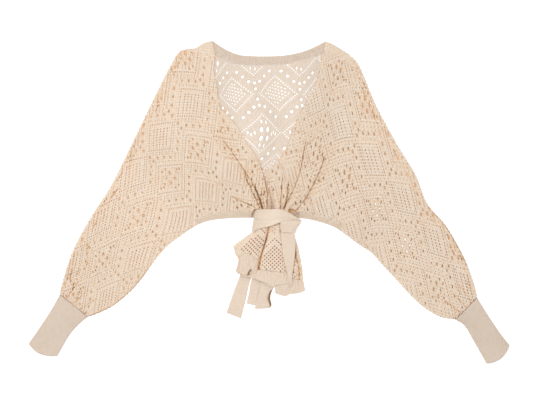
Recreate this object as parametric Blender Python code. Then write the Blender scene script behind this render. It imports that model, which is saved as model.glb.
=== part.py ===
"""Lace-knit cardigan, cropped and batwing sleeved, laid flat and tied at the waist.

The garment lies on its back. X runs across it, Y up from the hem to the neck, Z up from the
surface that it lies on. The under layer (back and the under halves of the sleeves) rests flat on
the surface, the upper layer (fronts and the upper halves of the sleeves) lies on it, and both
fronts are gathered into the tie, below which their lower corners fan out. Tables are in
millimetres, one row for each section, fold or mark. Right and left are the wearer's.
"""
import bpy
import numpy as np
from mathutils import Vector
from mathutils.geometry import delaunay_2d_cdt

MM = 0.001

# Driving sizes, in millimetres.
WALL = 2.0                # knit, one layer
SEAM_GAP = 0.3            # between pieces that are sewn together
LAYER_GAP = 0.3           # between cloth that lies on cloth
UPPER_LEVEL = WALL + LAYER_GAP
PUFF = 3.4                # how far the upper layer stands off the under layer
PUFF_REACH = 24.0         # distance from the edge over which it rises
POINT_SPACING = 42.0      # points inside a panel
EDGE_SPACING = 24.0       # points along a panel's edge
CREASE_SPACING = 17.0     # points along a crease
TAIL_SPACING = 13.0       # points inside a tail
GUIDE_GAP = 4.5           # smallest distance between points that follow creases

PLEAT_HEIGHT = 11.0       # pleats of the fronts where they meet the tie
PLEAT_REACH = 62.0        # distance over which they die out
MOUTH_LIFT = 3.6          # rise of the fronts into the tie
MOUTH_REACH = 40.0

HEM_BAND = 11.0           # height of the plain hem bands
RIB_PITCH = 6.2           # one rib and its furrow
RIB_HEIGHT = 0.9
NECK_COVERED = 34.0       # stretch of the neckband under each front, without ribs

EYELET_MARGIN = 4.5       # cloth left between an eyelet and the edge of its panel

# Seam lines and edges of the body, top to bottom or right to left as seen.
SHOULDER_RIGHT = [(-174, 337), (-159, 340), (-146, 349), (-125, 355)]
SHOULDER_LEFT = [(124, 354), (146, 344), (173, 327)]
ARMHOLE_RIGHT = [(-174, 337), (-183, 236), (-181, 137), (-172, 38), (-159, -50)]
ARMHOLE_LEFT = [(173, 327), (182, 236), (180, 137), (171, 38), (158, -64)]
HEM = [(-159, -50), (-130, -40), (-84, -35), (-36, -34), (15, -34), (68, -35), (103, -41),
       (140, -53), (158, -64)]
HEM_RIGHT_END = -158.5
HEM_LEFT_END = 157.6
SEAM_SLOPE = 0.14         # sideways lean of the armhole seams at the hem
FRONT_STOPS = (-38.0, 65.0)  # the fronts' hem bands end here, beside the tie
V_EDGE_RIGHT = [(-125, 355), (-119, 322), (-122, 290), (-114, 249), (-110, 214), (-84, 184),
                (-63, 155), (-44, 124), (-25, 93), (-10, 58), (-5, 27), (-4, -16)]
V_EDGE_LEFT = [(124, 354), (118, 326), (110, 282), (101, 256), (78, 211), (69, 187), (54, 167),
               (50, 128), (41, 104), (22, 75), (15, 38), (13, -16)]
NECK_TOP = [(-125, 355), (-96, 336), (-66, 324), (-30, 321), (5, 321), (36, 323), (74, 331),
            (99, 341), (124, 354)]
NECK_BOTTOM = [(-133, 332), (-104, 317), (-70, 305), (-34, 303), (8, 303), (36, 305), (70, 313),
               (103, 322), (131, 331)]

# Sleeves, a row for each section from the armhole to the cuff: outer edge, lower edge.
SLEEVE_RIGHT = [
    # outer x, outer y, lower x, lower y
    (-174, 338, -159, -50),
    (-198, 331, -176, -61),
    (-218, 299, -196, -75),
    (-250, 236, -225, -97),
    (-300, 133, -252, -129),
    (-348, 36, -276, -162),
    (-394, -36, -305, -196),
    (-432, -107, -341, -226),
    (-454, -173, -374, -243),
    (-461, -203, -399, -252),
]
SLEEVE_LEFT = [
    (173, 327, 158, -64),
    (193, 308, 178, -79),
    (207, 280, 202, -96),
    (237, 209, 226, -112),
    (281, 128, 246, -135),
    (322, 60, 270, -160),
    (348, -4, 290, -182),
    (390, -54, 312, -206),
    (429, -123, 341, -232),
    (450, -178, 376, -252),
    (458, -210, 411, -258),
]
CUFF_RIGHT = [
    (-461, -204, -400, -253),
    (-478, -235, -418, -268),
    (-502, -272, -439, -292),
    (-529, -311, -466, -338),
]
CUFF_LEFT = [
    (458, -211, 411, -259),
    (484, -253, 430, -272),
    (510, -291, 448, -302),
    (529, -315, 478, -355),
]
CUFF_HEIGHT = 7.0         # flattened cuff, outside
CUFF_BOW = 11.0           # how far the middle of its end hangs past the corners

# Creases of the fronts, from where each starts to the tie, and their widths there.
CREASES = [
    # points, width at the start, width at the tie, depth
    ([(-115, 154), (-99, 128), (-77, 101), (-55, 66), (-33, 36), (-19, 9), (-12, -16)], 5, 5, 0.95),
    (V_EDGE_RIGHT[6:], 9, 5, 1.0),
    (V_EDGE_LEFT[5:], 9, 5, 1.0),
    ([(77, 148), (74, 125), (69, 88), (63, 64), (56, 35), (42, 5), (27, -16)], 6, 5, 0.95),
    ([(140, 125), (125, 99), (118, 80), (106, 55), (94, 28), (76, 3), (48, -14)], 6, 6, 0.95),
]

# The tie's wrap, a row for each section from its upper rim to its lower one.
WRAP = [
    # y, left end x, right end x
    (-16, -31, 53),
    (-24, -36, 61),
    (-40, -36, 63),
    (-54, -35, 61),
    (-63, -31, 58),
]
WRAP_TOP = 26.0
WRAP_WALL = 2.4
WRAP_RUN_IN = 8.0         # how far the gathered cloth reaches into the wrap

# Tails of the fronts below the tie.
TAIL_RIGHT = [(-22, -57), (-29, -66), (-48, -74), (-78, -95), (-73, -113), (-69, -129), (-46, -131),
              (-24, -133), (-18, -115), (-10, -90), (-4, -66), (-2, -57)]
TAIL_LEFT = [(1, -57), (-1, -66), (-8, -90), (-16, -115), (-22, -142), (-19, -150), (5, -153),
             (34, -156), (48, -167), (75, -172), (72, -138), (67, -115), (63, -96), (57, -79), (46, -66),
             (40, -57)]
TAIL_FOLD = [(54, -62), (57, -90), (59, -125), (66, -147), (67, -191)]
TAIL_SPLIT = [(0, -57), (-2, -66), (-9, -90), (-17, -115), (-24, -152)]
TAIL_BANDS = [
    # name, upper edge, lower edge
    ("hem_rib_right", [(-69.2, -129.4), (-46, -131.4), (-24, -133.4)],
     [(-73, -150), (-62, -158), (-27, -154)]),
    ("hem_rib_left", [(-52, -161), (-27, -156.5), (-21, -151.5), (5, -153.6), (33, -156.6), (44, -166)],
     [(-55, -165), (-26, -172), (-5, -177), (12, -188), (28, -184), (45, -180)]),
    ("hem_rib_left_end", [(13, -189), (28, -185), (46, -181), (49, -168.5), (75, -172.6)],
     [(10, -204), (24, -206), (39, -207), (64, -198), (79, -191)]),
]
TAIL_LIFT = 5.0
TAIL_PLEAT = 8.0

# Free ends of the tie, a row for each section: left edge, right edge.
TIE_TOP = [
    # left x, left y, right x, right y
    (26, -59, 52, -59),
    (27, -85, 56, -84),
    (30, -115, 56, -114),
    (38, -146, 53, -146),
    (46, -180, 49, -180),
]
TIE_LOW = [
    (-27, -38, -1, -38),
    (-32, -78, -4, -80),
    (-46, -112, -18, -117),
    (-64, -160, -41, -170),
    (-80, -203, -51, -212),
    (-94, -243, -62, -256),
]
TIE_MIDDLE = [
    (3, -38, 33, -38),
    (-2, -80, 30, -80),
    (-14, -116, 24, -116),
    (-37, -171, 11, -175),
    (-44, -202, 9, -207),
    (-49, -226, 4, -234),
]
TIE_BED_TOP = 12.0        # the tail's underside below the upper tie end, at the tie
TIE_BED_END = 7.0

# Places of the filled diamonds of the lace, as counted on the garment: two rows on each side.
LATTICE_RIGHT = [
    # column along the arm, row across it, x, y
    (0, 0, -172, 220), (1, 0, -240, 143), (2, 0, -300, 64), (3, 0, -372, -39), (4, 0, -438, -134),
    (0, 1, -77, 66), (1, 1, -139, 27), (2, 1, -198, -39), (3, 1, -289, -121), (4, 1, -359, -209),
]
LATTICE_LEFT = [
    (0, 0, 156, 176), (1, 0, 226, 93), (2, 0, 297, 9), (3, 0, 365, -83), (4, 0, 433, -180),
    (0, 1, 116, -11), (1, 1, 182, -63), (2, 1, 239, -118), (3, 1, 308, -206), (-1, 0, 99, 227),
]
LATTICE_BACK = [
    (0, 0, 14, 242), (-1, 0, -80, 238), (1, 0, 103, 236), (-0.5, -0.5, -36, 317), (0.5, -0.5, 67, 317),
    (-1.5, -0.5, -119, 313), (-0.5, 0.5, -10, 150), (0.5, 0.5, 80, 150), (-1.5, 0.5, -105, 150),
    (0, 1, 4, 70), (-1, 1, -88, 70), (1, 1, 96, 70), (0, 2, 0, -86), (-1, 2, -92, -86),
]

# Eyelets over 4 mm in one repeat, the largest first. Two filled diamonds meet at column 0.5, and
# column 0.5, row 0.5 is the middle of an open diamond, which has four long eyelets.
OPEN_DIAMOND_EYELETS = [
    # column, row, nudge across, nudge down, half length, half width, sides
    (0.5, 0.5, -6.4, -9.6, 5.2, 3.2, 6),
    (0.5, 0.5, 6.4, -9.6, 5.2, 3.2, 6),
    (0.5, 0.5, -6.4, 9.6, 5.2, 3.2, 6),
    (0.5, 0.5, 6.4, 9.6, 5.2, 3.2, 6),
    (0.5, 0.0, 0.0, -10.5, 4.0, 3.2, 4),
    (0.5, 0.0, 0.0, 10.5, 4.0, 3.2, 4),
]
BAND_EYELETS = [
    (side * column, end * row, 0.0, 0.0, 3.6, 3.2, 4)
    for column, row in ((0.14, 0.31), (0.265, 0.255), (0.39, 0.19)) for side in (-1, 1) for end in (-1, 1)
]
REST_POINT = (0.0, -10.0)  # on the back near the hem, kept whole

# Colours, linear, from the photo, and the roughness of cotton yarn.
LACE_CREAM = (0.80, 0.68, 0.54)
RIB_CREAM = (0.76, 0.63, 0.49)
TIE_CREAM = (0.82, 0.70, 0.56)
YARN_ROUGHNESS = 0.9


def clear_scene():
    """Remove whatever the file opened with."""
    for ob in list(bpy.data.objects):
        bpy.data.objects.remove(ob, do_unlink=True)


def yarn(name, colour):
    """Matt cotton yarn."""
    material = bpy.data.materials.new(name)
    material.use_nodes = True
    shader = material.node_tree.nodes["Principled BSDF"]
    shader.inputs["Base Color"].default_value = (*colour, 1.0)
    shader.inputs["Roughness"].default_value = YARN_ROUGHNESS
    shader.inputs["Metallic"].default_value = 0.0
    return material


def curve_through(points, spacing):
    """Points about `spacing` apart on a Catmull-Rom curve through `points`."""
    p = np.array(points, float)
    ends = np.vstack([2 * p[0] - p[1], p, 2 * p[-1] - p[-2]])
    out = []
    for i in range(len(p) - 1):
        a, b, c, d = ends[i:i + 4]
        steps = max(1, int(round(np.linalg.norm(c - b) / spacing)))
        t = np.arange(steps)[:, None] / steps
        out.append(0.5 * (2 * b + (c - a) * t + (2 * a - 5 * b + 4 * c - d) * t ** 2
                          + (3 * b - a - 3 * c + d) * t ** 3))
    return np.vstack(out + [p[-1:]])


def along(points, count):
    """`count` points evenly spaced along the polyline `points`."""
    p = np.array(points, float)
    reach = np.concatenate([[0], np.cumsum(np.linalg.norm(np.diff(p, axis=0), axis=1))])
    at = np.linspace(0, reach[-1], count)
    return np.column_stack([np.interp(at, reach, p[:, k]) for k in range(p.shape[1])])


def straight_edges(corners, spacing):
    """Points about `spacing` apart along a closed outline, its corners kept."""
    p = np.array(corners, float)
    out = []
    for a, b in zip(p, np.roll(p, -1, axis=0)):
        steps = max(1, int(round(np.linalg.norm(b - a) / spacing)))
        out.append(a + (b - a) * np.arange(steps)[:, None] / steps)
    return np.vstack(out)


def distance_to(path, points):
    """Distance of each point from the polyline `path`, and how far along it, 0 to 1."""
    p = np.atleast_2d(np.array(points, float))
    q = np.array(path, float)
    a = q[:-1]
    step = q[1:] - a
    length = np.linalg.norm(step, axis=1)
    start = np.concatenate([[0], np.cumsum(length)[:-1]])
    rel = p[:, None, :] - a[None]
    t = np.clip((rel * step).sum(2) / np.maximum(length ** 2, 1e-9), 0, 1)
    gap = np.linalg.norm(rel - t[..., None] * step, axis=2)
    best = gap.argmin(1)
    rows = np.arange(len(p))
    return gap[rows, best], (start[best] + t[rows, best] * length[best]) / length.sum()


def ease(x):
    """0 below 0, 1 above 1, smooth between."""
    x = np.clip(x, 0, 1)
    return x * x * (3 - 2 * x)


def inside(outline, points):
    """Whether each point lies in the closed polygon `outline`."""
    p = np.atleast_2d(points)
    q = np.array(outline, float)
    r = np.roll(q, -1, axis=0)
    x, y = p[:, 0, None], p[:, 1, None]
    spans = (q[:, 1] > y) != (r[:, 1] > y)
    rise = np.where(r[:, 1] == q[:, 1], 1e-9, r[:, 1] - q[:, 1])
    crossing = q[:, 0] + (y - q[:, 1]) * (r[:, 0] - q[:, 0]) / rise
    return (spans & (x < crossing)).sum(1) % 2 == 1


def sections_edge(sections, side):
    """The outer (0) or lower (1) edge of a table of sections."""
    return [row[2 * side:2 * side + 2] for row in sections]


SILHOUETTE = [
    SHOULDER_RIGHT, SHOULDER_LEFT, HEM[:4], HEM[5:],
    sections_edge(SLEEVE_RIGHT, 0), sections_edge(SLEEVE_RIGHT, 1),
    sections_edge(SLEEVE_LEFT, 0), sections_edge(SLEEVE_LEFT, 1),
]
WRAP_MOUTH = [(-22, -16), (44, -16)]
V_EDGES = [V_EDGE_RIGHT, V_EDGE_LEFT]


def upper_underside(points):
    """Height of the upper layer's underside: puffed, then pleated towards the tie."""
    edge = np.min([distance_to(path, points)[0] for path in SILHOUETTE], axis=0)
    v_edge = np.min([distance_to(path, points)[0] for path in V_EDGES], axis=0)
    mouth = distance_to(WRAP_MOUTH, points)[0]
    puff = PUFF * (1 - np.exp(-np.minimum(edge, v_edge) / PUFF_REACH))
    hem_fade = ease(distance_to(HEM[:4], points)[0] / 22) * ease(distance_to(HEM[5:], points)[0] / 22)
    lift = MOUTH_LIFT * ease(1 - mouth / MOUTH_REACH) * hem_fade
    pleat = PLEAT_HEIGHT * np.exp(-mouth / PLEAT_REACH) * hem_fade
    for path, start, end, depth in CREASES:
        gap, place = distance_to(path, points)
        width = start + (end - start) * place
        pleat = pleat * (1 - depth * np.exp(-(gap / width) ** 2) * ease(place * 5 + 0.3))
    return UPPER_LEVEL + puff + lift + pleat


def under_underside(points):
    """The under layer rests flat."""
    return np.zeros(len(points))


def tie_bed(y):
    """Height of the tail's underside below the upper tie end."""
    return np.interp(-y, [59, 182], [TIE_BED_TOP, TIE_BED_END])


def upper_end_underside(points):
    """The upper tie end lies on the tail, and over the ribs of its hem."""
    over_ribs = RIB_HEIGHT * ease((-points[:, 1] - 138) / 14)
    return tie_bed(points[:, 1]) + WALL * 1.05 + LAYER_GAP + over_ribs


def tail_underside(points):
    """Height of the tails' underside: two rolls that flatten towards the hem."""
    p = np.atleast_2d(points)
    down = -58 - p[:, 1]
    lift = TAIL_LIFT * ease(1 - down / 36)
    roll = TAIL_PLEAT * np.exp(-np.maximum(down, 0) / 160)
    split = distance_to(TAIL_SPLIT, p)[0]
    fold = distance_to(TAIL_FOLD, p)[0]
    roll = roll * (1 - 0.95 * np.exp(-(split / 9) ** 2)) * (1 - 0.95 * np.exp(-(fold / 6) ** 2))
    outer = np.minimum(distance_to(TAIL_RIGHT[1:6], p)[0], distance_to(TAIL_LEFT[8:14], p)[0])
    roll = roll * (0.25 + 0.75 * ease(outer / 16))
    z = UPPER_LEVEL + lift + roll
    down_tie = [-row[1] for row in TIE_TOP]
    left = np.interp(-p[:, 1], down_tie, [row[0] for row in TIE_TOP])
    right = np.interp(-p[:, 1], down_tie, [row[2] for row in TIE_TOP])
    under_tie = ease((6 + np.minimum(p[:, 0] - left, right - p[:, 0])) / 4)
    under_tie = under_tie * (p[:, 1] > -186)
    return z * (1 - under_tie) + tie_bed(p[:, 1]) * under_tie


def wall_height(underside, points):
    """Thickness measured straight up, so that a slope keeps its wall."""
    step = 0.5
    p = np.atleast_2d(points)
    dx = (underside(p + [step, 0]) - underside(p - [step, 0])) / (2 * step)
    dy = (underside(p + [0, step]) - underside(p - [0, step])) / (2 * step)
    return WALL * np.minimum(np.sqrt(1 + dx ** 2 + dy ** 2), 1.4)


def encloses(vertices, faces):
    """Signed volume of a closed mesh, negative if its faces point inwards."""
    v = np.array(vertices, float)
    fans = np.array([(f[0], f[i], f[i + 1]) for f in faces for i in range(1, len(f) - 1)])
    return (v[fans[:, 0]] * np.cross(v[fans[:, 1]], v[fans[:, 2]])).sum() / 6


def solid_from(name, vertices, faces, material, parent):
    """A named object from millimetre points, its faces turned outwards."""
    if encloses(vertices, faces) < 0:
        faces = [tuple(reversed(f)) for f in faces]
    mesh = bpy.data.meshes.new(name)
    mesh.from_pydata([Vector(v) * MM for v in vertices], [], faces)
    mesh.materials.append(material)
    mesh.shade_smooth()
    mesh.set_sharp_from_angle(angle=0.9)
    ob = bpy.data.objects.new(name, mesh)
    bpy.context.scene.collection.objects.link(ob)
    ob.parent = parent
    return ob


def panel(name, outline, underside, material, parent, eyelets=(), guides=(), spacing=POINT_SPACING):
    """A knit panel: its outline filled with triangles, cut by its eyelets, then given its wall."""
    outline = np.array(outline, float)
    loops = [outline] + [np.array(e) for e in eyelets]
    marks = np.vstack([line[inside_by(outline, line, 5.0)] for line in guides] + [np.empty((0, 2))])
    for loop in loops[1:]:
        marks = marks[np.linalg.norm(marks - loop.mean(0), axis=1) > 9]
    marks = thinned(marks, GUIDE_GAP)
    low, high = outline.min(0), outline.max(0)
    rows = np.arange(low[1], high[1], spacing * 0.866)
    grid = [(x + spacing / 2 * (i % 2), y) for i, y in enumerate(rows)
            for x in np.arange(low[0], high[0], spacing)]
    grid = np.array(grid)
    keep = inside_by(outline, grid, spacing * 0.3)
    if len(marks):
        keep &= np.linalg.norm(grid[:, None] - marks[None], axis=2).min(1) > spacing * 0.4
    for loop in loops[1:]:
        keep &= np.linalg.norm(grid - loop.mean(0), axis=1) > 12
    grid = grid[keep]
    points, edges, faces = [], [], []
    for loop in loops:
        first = len(points)
        points += [tuple(p) for p in loop]
        ring = list(range(first, first + len(loop)))
        edges += [(ring[i], ring[(i + 1) % len(ring)]) for i in range(len(ring))]
        faces.append(ring)
    points += [tuple(p) for p in np.vstack([marks, grid])]
    found = delaunay_2d_cdt([Vector(p) for p in points], edges, faces, 1, 1e-4)
    flat = np.array([tuple(v) for v in found[0]])
    triangles = [list(t) for t, origin in zip(found[2], found[5])
                 if 0 in origin and not any(k > 0 for k in origin)]
    used = sorted({v for t in triangles for v in t})
    number = {v: i for i, v in enumerate(used)}
    flat = flat[used]
    triangles = [[number[v] for v in t] for t in triangles]
    low_z = underside(flat)
    high_z = low_z + wall_height(underside, flat)
    count = len(flat)
    vertices = [(x, y, z) for (x, y), z in zip(flat, high_z)]
    vertices += [(x, y, z) for (x, y), z in zip(flat, low_z)]
    solid = [tuple(t) for t in triangles]
    solid += [tuple(v + count for v in reversed(t)) for t in triangles]
    directed = {(t[i], t[(i + 1) % 3]) for t in triangles for i in range(3)}
    rim = [e for e in directed if (e[1], e[0]) not in directed]
    solid += [(b, a, a + count, b + count) for a, b in rim]
    return solid_from(name, vertices, solid, material, parent)


def thinned(points, gap):
    """The points in order, without those nearer than `gap` to one that is kept."""
    kept = []
    for p in points:
        if all(np.hypot(*(p - q)) >= gap for q in kept):
            kept.append(p)
    return np.array(kept).reshape(-1, 2)


def inside_by(outline, points, margin):
    """Whether each point lies in the outline and `margin` or more from its edge."""
    closed = np.vstack([outline, outline[:1]])
    return inside(outline, points) & (distance_to(closed, points)[0] > margin)


def strip(name, edge_a, edge_b, underside, material, parent, ribs=True, plain_end=10.0):
    """A band between two edges, with ribs raised across it over a plain underside.

    The ribs die out over twice `plain_end` at both ends.
    """
    length = np.linalg.norm(np.diff(np.array(edge_a, float), axis=0), axis=1).sum()
    count = 2 * int(round(length / RIB_PITCH)) + 1 if ribs else max(3, int(length / EDGE_SPACING))
    a = along(edge_a, count)
    b = along(edge_b, count)
    across = 4
    t = np.linspace(0, 1, across)[None, :, None]
    flat = (a[:, None] * (1 - t) + b[:, None] * t).reshape(-1, 2)
    low = underside(flat)
    top = low + wall_height(underside, flat)
    if ribs:
        from_end = np.minimum(np.arange(count), np.arange(count)[::-1]) * RIB_PITCH / 2
        fade = ease(from_end / plain_end - 1)
        top = top + np.repeat((np.arange(count) % 2) * fade, across) * RIB_HEIGHT
    grid = np.arange(count * across).reshape(count, across)
    return solid_between(name, np.column_stack([flat, top]), np.column_stack([flat, low]), grid,
                         material, parent)


def solid_between(name, upper, lower, grid, material, parent):
    """Close the space between two grids of points that share the numbering `grid`."""
    total = len(upper)
    quads = [(grid[i, j], grid[i, j + 1], grid[i + 1, j + 1], grid[i + 1, j])
             for i in range(grid.shape[0] - 1) for j in range(grid.shape[1] - 1)]
    faces = [tuple(int(v) for v in q) for q in quads]
    faces += [tuple(int(v) + total for v in reversed(q)) for q in quads]
    directed = {(q[i], q[(i + 1) % 4]) for q in quads for i in range(4)}
    rim = [e for e in directed if (e[1], e[0]) not in directed]
    faces += [(int(q), int(p), int(p) + total, int(q) + total) for p, q in rim]
    return solid_from(name, np.vstack([upper, lower]), faces, material, parent)


def tube(name, outer, inner, material, parent):
    """An open tube from rings of outer and inner points, both shaped (rings, sides, 3)."""
    rings, sides = outer.shape[:2]
    points = np.concatenate([outer.reshape(-1, 3), inner.reshape(-1, 3)])
    shift = rings * sides
    faces = []
    for i in range(rings - 1):
        for j in range(sides):
            k = (j + 1) % sides
            a, b, c, d = i * sides + j, i * sides + k, (i + 1) * sides + k, (i + 1) * sides + j
            faces.append((a, b, c, d))
            faces.append((d + shift, c + shift, b + shift, a + shift))
    for j in range(sides):
        k = (j + 1) % sides
        faces.append((k, j, j + shift, k + shift))
        last = (rings - 1) * sides
        faces.append((last + j, last + k, last + k + shift, last + j + shift))
    return solid_from(name, points, faces, material, parent)


def flattened(centre, across, half_width, low, high, sides, power):
    """One ring of a flattened tube: a rounded oval from `low` to `high`, `across` in plan."""
    angle = np.arange(sides) * 2 * np.pi / sides
    c, s = np.cos(angle), np.sin(angle)
    u = np.sign(c) * np.abs(c) ** (2 / power) * half_width
    z = (low + high) / 2 + np.sign(s) * np.abs(s) ** (2 / power) * (high - low) / 2
    return np.column_stack([centre[0] + u * across[0], centre[1] + u * across[1], z])


def pressed(centre, across, half_width, low, high):
    """One ring of a tube pressed flat: two level stretches joined by half circles."""
    r = (high - low) / 2
    turn = np.linspace(-np.pi / 2, np.pi / 2, 5)
    level = np.linspace(-1, 1, 7)[1:-1] * (half_width - r)
    u = np.concatenate([half_width - r + np.cos(turn) * r, level[::-1],
                        r - half_width - np.cos(turn) * r, level])
    z = np.concatenate([np.sin(turn), np.ones(5), -np.sin(turn), -np.ones(5)]) * r + (low + high) / 2
    return np.column_stack([centre[0] + u * across[0], centre[1] + u * across[1], z])


def lattice(table):
    """Thin-plate spline from the lace's own columns and rows to places on the garment."""
    t = np.array(table, float)
    source, target = t[:, :2], t[:, 2:]

    def kernel(d):
        return np.where(d > 0, d ** 2 * np.log(np.maximum(d, 1e-9)), 0)
    n = len(source)
    between = kernel(np.linalg.norm(source[:, None] - source[None], axis=2))
    affine = np.column_stack([np.ones(n), source])
    system = np.block([[between, affine], [affine.T, np.zeros((3, 3))]])
    weights = np.linalg.solve(system, np.vstack([target, np.zeros((3, 2))]))

    def place(column, row):
        q = np.array([[column, row]], float)
        d = kernel(np.linalg.norm(q[:, None] - source[None], axis=2))
        return (np.column_stack([d, [[1.0, column, row]]]) @ weights)[0]
    return place


def eyelets_in(outline, place, columns, rows, chart, bare=()):
    """The chart's eyelets in every repeat whose whole rim lies well inside the outline."""
    found = []
    closed = np.vstack([outline, outline[:1]])
    for i in columns:
        for j in rows:
            for column, row, across, down, length, width, sides in chart:
                angle = np.arange(sides) * 2 * np.pi / sides
                centre = place(i + column, j + row)
                u = place(i + column + 0.05, j + row) - centre
                v = place(i + column, j + row + 0.05) - centre
                u, v = u / np.linalg.norm(u), v / np.linalg.norm(v)
                middle = centre + u * across + v * down
                rim = middle + np.outer(np.cos(angle) * length, v) + np.outer(np.sin(angle) * width, u)
                if not inside(outline, rim).all():
                    continue
                if distance_to(closed, rim)[0].min() < EYELET_MARGIN:
                    continue
                if any(distance_to(path, middle[None])[0][0] < reach for path, reach in bare):
                    continue
                if any(np.linalg.norm(middle - other.mean(0)) < 10 for other in found):
                    continue
                area = np.cross(rim[1] - rim[0], rim[2] - rim[1])
                found.append(rim if area > 0 else rim[::-1])
    return found


def shifted(path, dx, dy=0.0):
    """The path moved sideways, to leave half of a seam gap."""
    return np.array(path, float) + [dx, dy]


def smooth_edge(points):
    """A panel's edge at the usual spacing."""
    return curve_through(points, EDGE_SPACING)


def loop_of(*edges):
    """One closed outline, counterclockwise, from edges that follow each other."""
    points = np.vstack(edges)
    keep = [0]
    for i in range(1, len(points)):
        if np.linalg.norm(points[i] - points[keep[-1]]) > 1.0:
            keep.append(i)
    if np.linalg.norm(points[keep[-1]] - points[0]) < 1.0:
        keep.pop()
    loop = points[keep]
    after = np.roll(loop, -1, axis=0)
    area = (loop[:, 0] * after[:, 1] - loop[:, 1] * after[:, 0]).sum() / 2
    return loop if area > 0 else loop[::-1]


def hem_line(rise, low_x=None, high_x=None):
    """The hem raised by `rise`, between two places across, or up to a seam where none is given."""
    hem = curve_through(HEM, 6.0)
    low_x = HEM_RIGHT_END - rise * SEAM_SLOPE if low_x is None else low_x
    high_x = HEM_LEFT_END + rise * SEAM_SLOPE if high_x is None else high_x
    x = np.linspace(low_x, high_x, max(3, int((high_x - low_x) / EDGE_SPACING) + 1))
    return np.column_stack([x, np.interp(x, hem[:, 0], hem[:, 1]) + rise])


def crease_guides(paths):
    """Lines of points along each crease and on both its sides."""
    middles, sides = [], []
    for path, reach in paths:
        line = curve_through(path, CREASE_SPACING)
        step = np.gradient(line, axis=0)
        normal = np.column_stack([-step[:, 1], step[:, 0]])
        normal /= np.linalg.norm(normal, axis=1)[:, None]
        middles.append(line)
        sides += [line + normal * reach * share for share in (-0.9, 0.9, -2.0, 2.0)]
    return middles + sides


def build_body(parent, lace, rib):
    """Back, neckband, fronts and hem bands."""
    half = SEAM_GAP / 2
    top_of_hem = HEM_BAND + SEAM_GAP
    right_seam = shifted(smooth_edge(ARMHOLE_RIGHT), half)
    left_seam = shifted(smooth_edge(ARMHOLE_LEFT), -half)
    right_seam = right_seam[right_seam[:, 1] > -50 + top_of_hem + 6]
    left_seam = left_seam[left_seam[:, 1] > -64 + top_of_hem + 6]
    neck = smooth_edge(NECK_BOTTOM) - [0, SEAM_GAP]
    shoulder_right = smooth_edge(SHOULDER_RIGHT)[:-1]
    shoulder_left = smooth_edge(SHOULDER_LEFT)[1:]

    back = loop_of(right_seam, hem_line(top_of_hem), left_seam[::-1],
                   shoulder_left[shoulder_left[:, 1] < 348][::-1], neck[::-1],
                   shoulder_right[shoulder_right[:, 1] < 348][::-1])
    holes = eyelets_in(back, lattice(LATTICE_BACK), range(-3, 3), range(-1, 3),
                       OPEN_DIAMOND_EYELETS + BAND_EYELETS, [([REST_POINT, REST_POINT], 16.0)])
    panel("back", back, under_underside, lace, parent, holes)
    strip("back_hem_band", hem_line(HEM_BAND), hem_line(0), under_underside, rib, parent, ribs=False)

    strip("neckband", smooth_edge(NECK_TOP), smooth_edge(NECK_BOTTOM), under_underside, rib, parent,
          plain_end=NECK_COVERED)

    mouth = WRAP[0][0] - WRAP_RUN_IN
    v_right = smooth_edge(V_EDGE_RIGHT)
    side_right = [(-37.5, -34 + top_of_hem), (-36.9, -23.4), (-31.8, -15.2), (-22, -15), (-21, mouth),
                  (-5, mouth)]
    front_right = loop_of(right_seam, hem_line(top_of_hem, high_x=FRONT_STOPS[0]), side_right,
                          v_right[::-1], shoulder_right[::-1])
    v_left = smooth_edge(V_EDGE_LEFT)
    side_left = [(64.5, -35 + top_of_hem), (62.2, -23.4), (54.0, -15.2), (43, -15), (42, mouth), (14, mouth)]
    front_left = loop_of(left_seam[::-1], shoulder_left[::-1], v_left, side_left[::-1],
                         hem_line(top_of_hem, low_x=FRONT_STOPS[1]))
    reaches = [(path, (start + end) / 2) for path, start, end, depth in CREASES]
    bare = [(path, 2.0 * reach) for path, reach in reaches]
    right_lace = lattice(LATTICE_RIGHT)
    left_lace = lattice(LATTICE_LEFT)
    for name, outline, place, chosen in (("front_right", front_right, right_lace, (0, 1)),
                                         ("front_left", front_left, left_lace, (2, 3, 4))):
        holes = eyelets_in(outline, place, range(-3, 5), range(-2, 4), OPEN_DIAMOND_EYELETS,
                           bare + [(WRAP_MOUTH, 40)])
        guides = crease_guides([reaches[k] for k in chosen])
        panel(name, outline, upper_underside, lace, parent, holes, guides)

    for name, ends in (("front_hem_band_right", {"high_x": FRONT_STOPS[0]}),
                       ("front_hem_band_left", {"low_x": FRONT_STOPS[1]})):
        strip(name, hem_line(HEM_BAND, **ends), hem_line(0, **ends), upper_underside, rib, parent,
              ribs=False)


def build_sleeves(parent, lace, rib):
    """Each sleeve as an upper and an under half, and its cuff as a flattened open tube."""
    half = SEAM_GAP / 2
    for side, sections, cuff, armhole, table, way in (
            ("right", SLEEVE_RIGHT, CUFF_RIGHT, ARMHOLE_RIGHT, LATTICE_RIGHT, -1),
            ("left", SLEEVE_LEFT, CUFF_LEFT, ARMHOLE_LEFT, LATTICE_LEFT, 1)):
        outer = smooth_edge(sections_edge(sections, 0))
        lower = smooth_edge(sections_edge(sections, 1))
        seam = shifted(smooth_edge(armhole), way * half)
        outline = loop_of(seam, lower, along([lower[-1], outer[-1]], 4), outer[::-1])
        place = lattice(table)
        holes = eyelets_in(outline, place, range(-3, 6), range(-2, 4), OPEN_DIAMOND_EYELETS)
        panel(f"sleeve_{side}_upper", outline, upper_underside, lace, parent, holes)
        panel(f"sleeve_{side}_under", outline, under_underside, lace, parent, holes)
        build_cuff(f"cuff_{side}", cuff, rib, parent)


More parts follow.
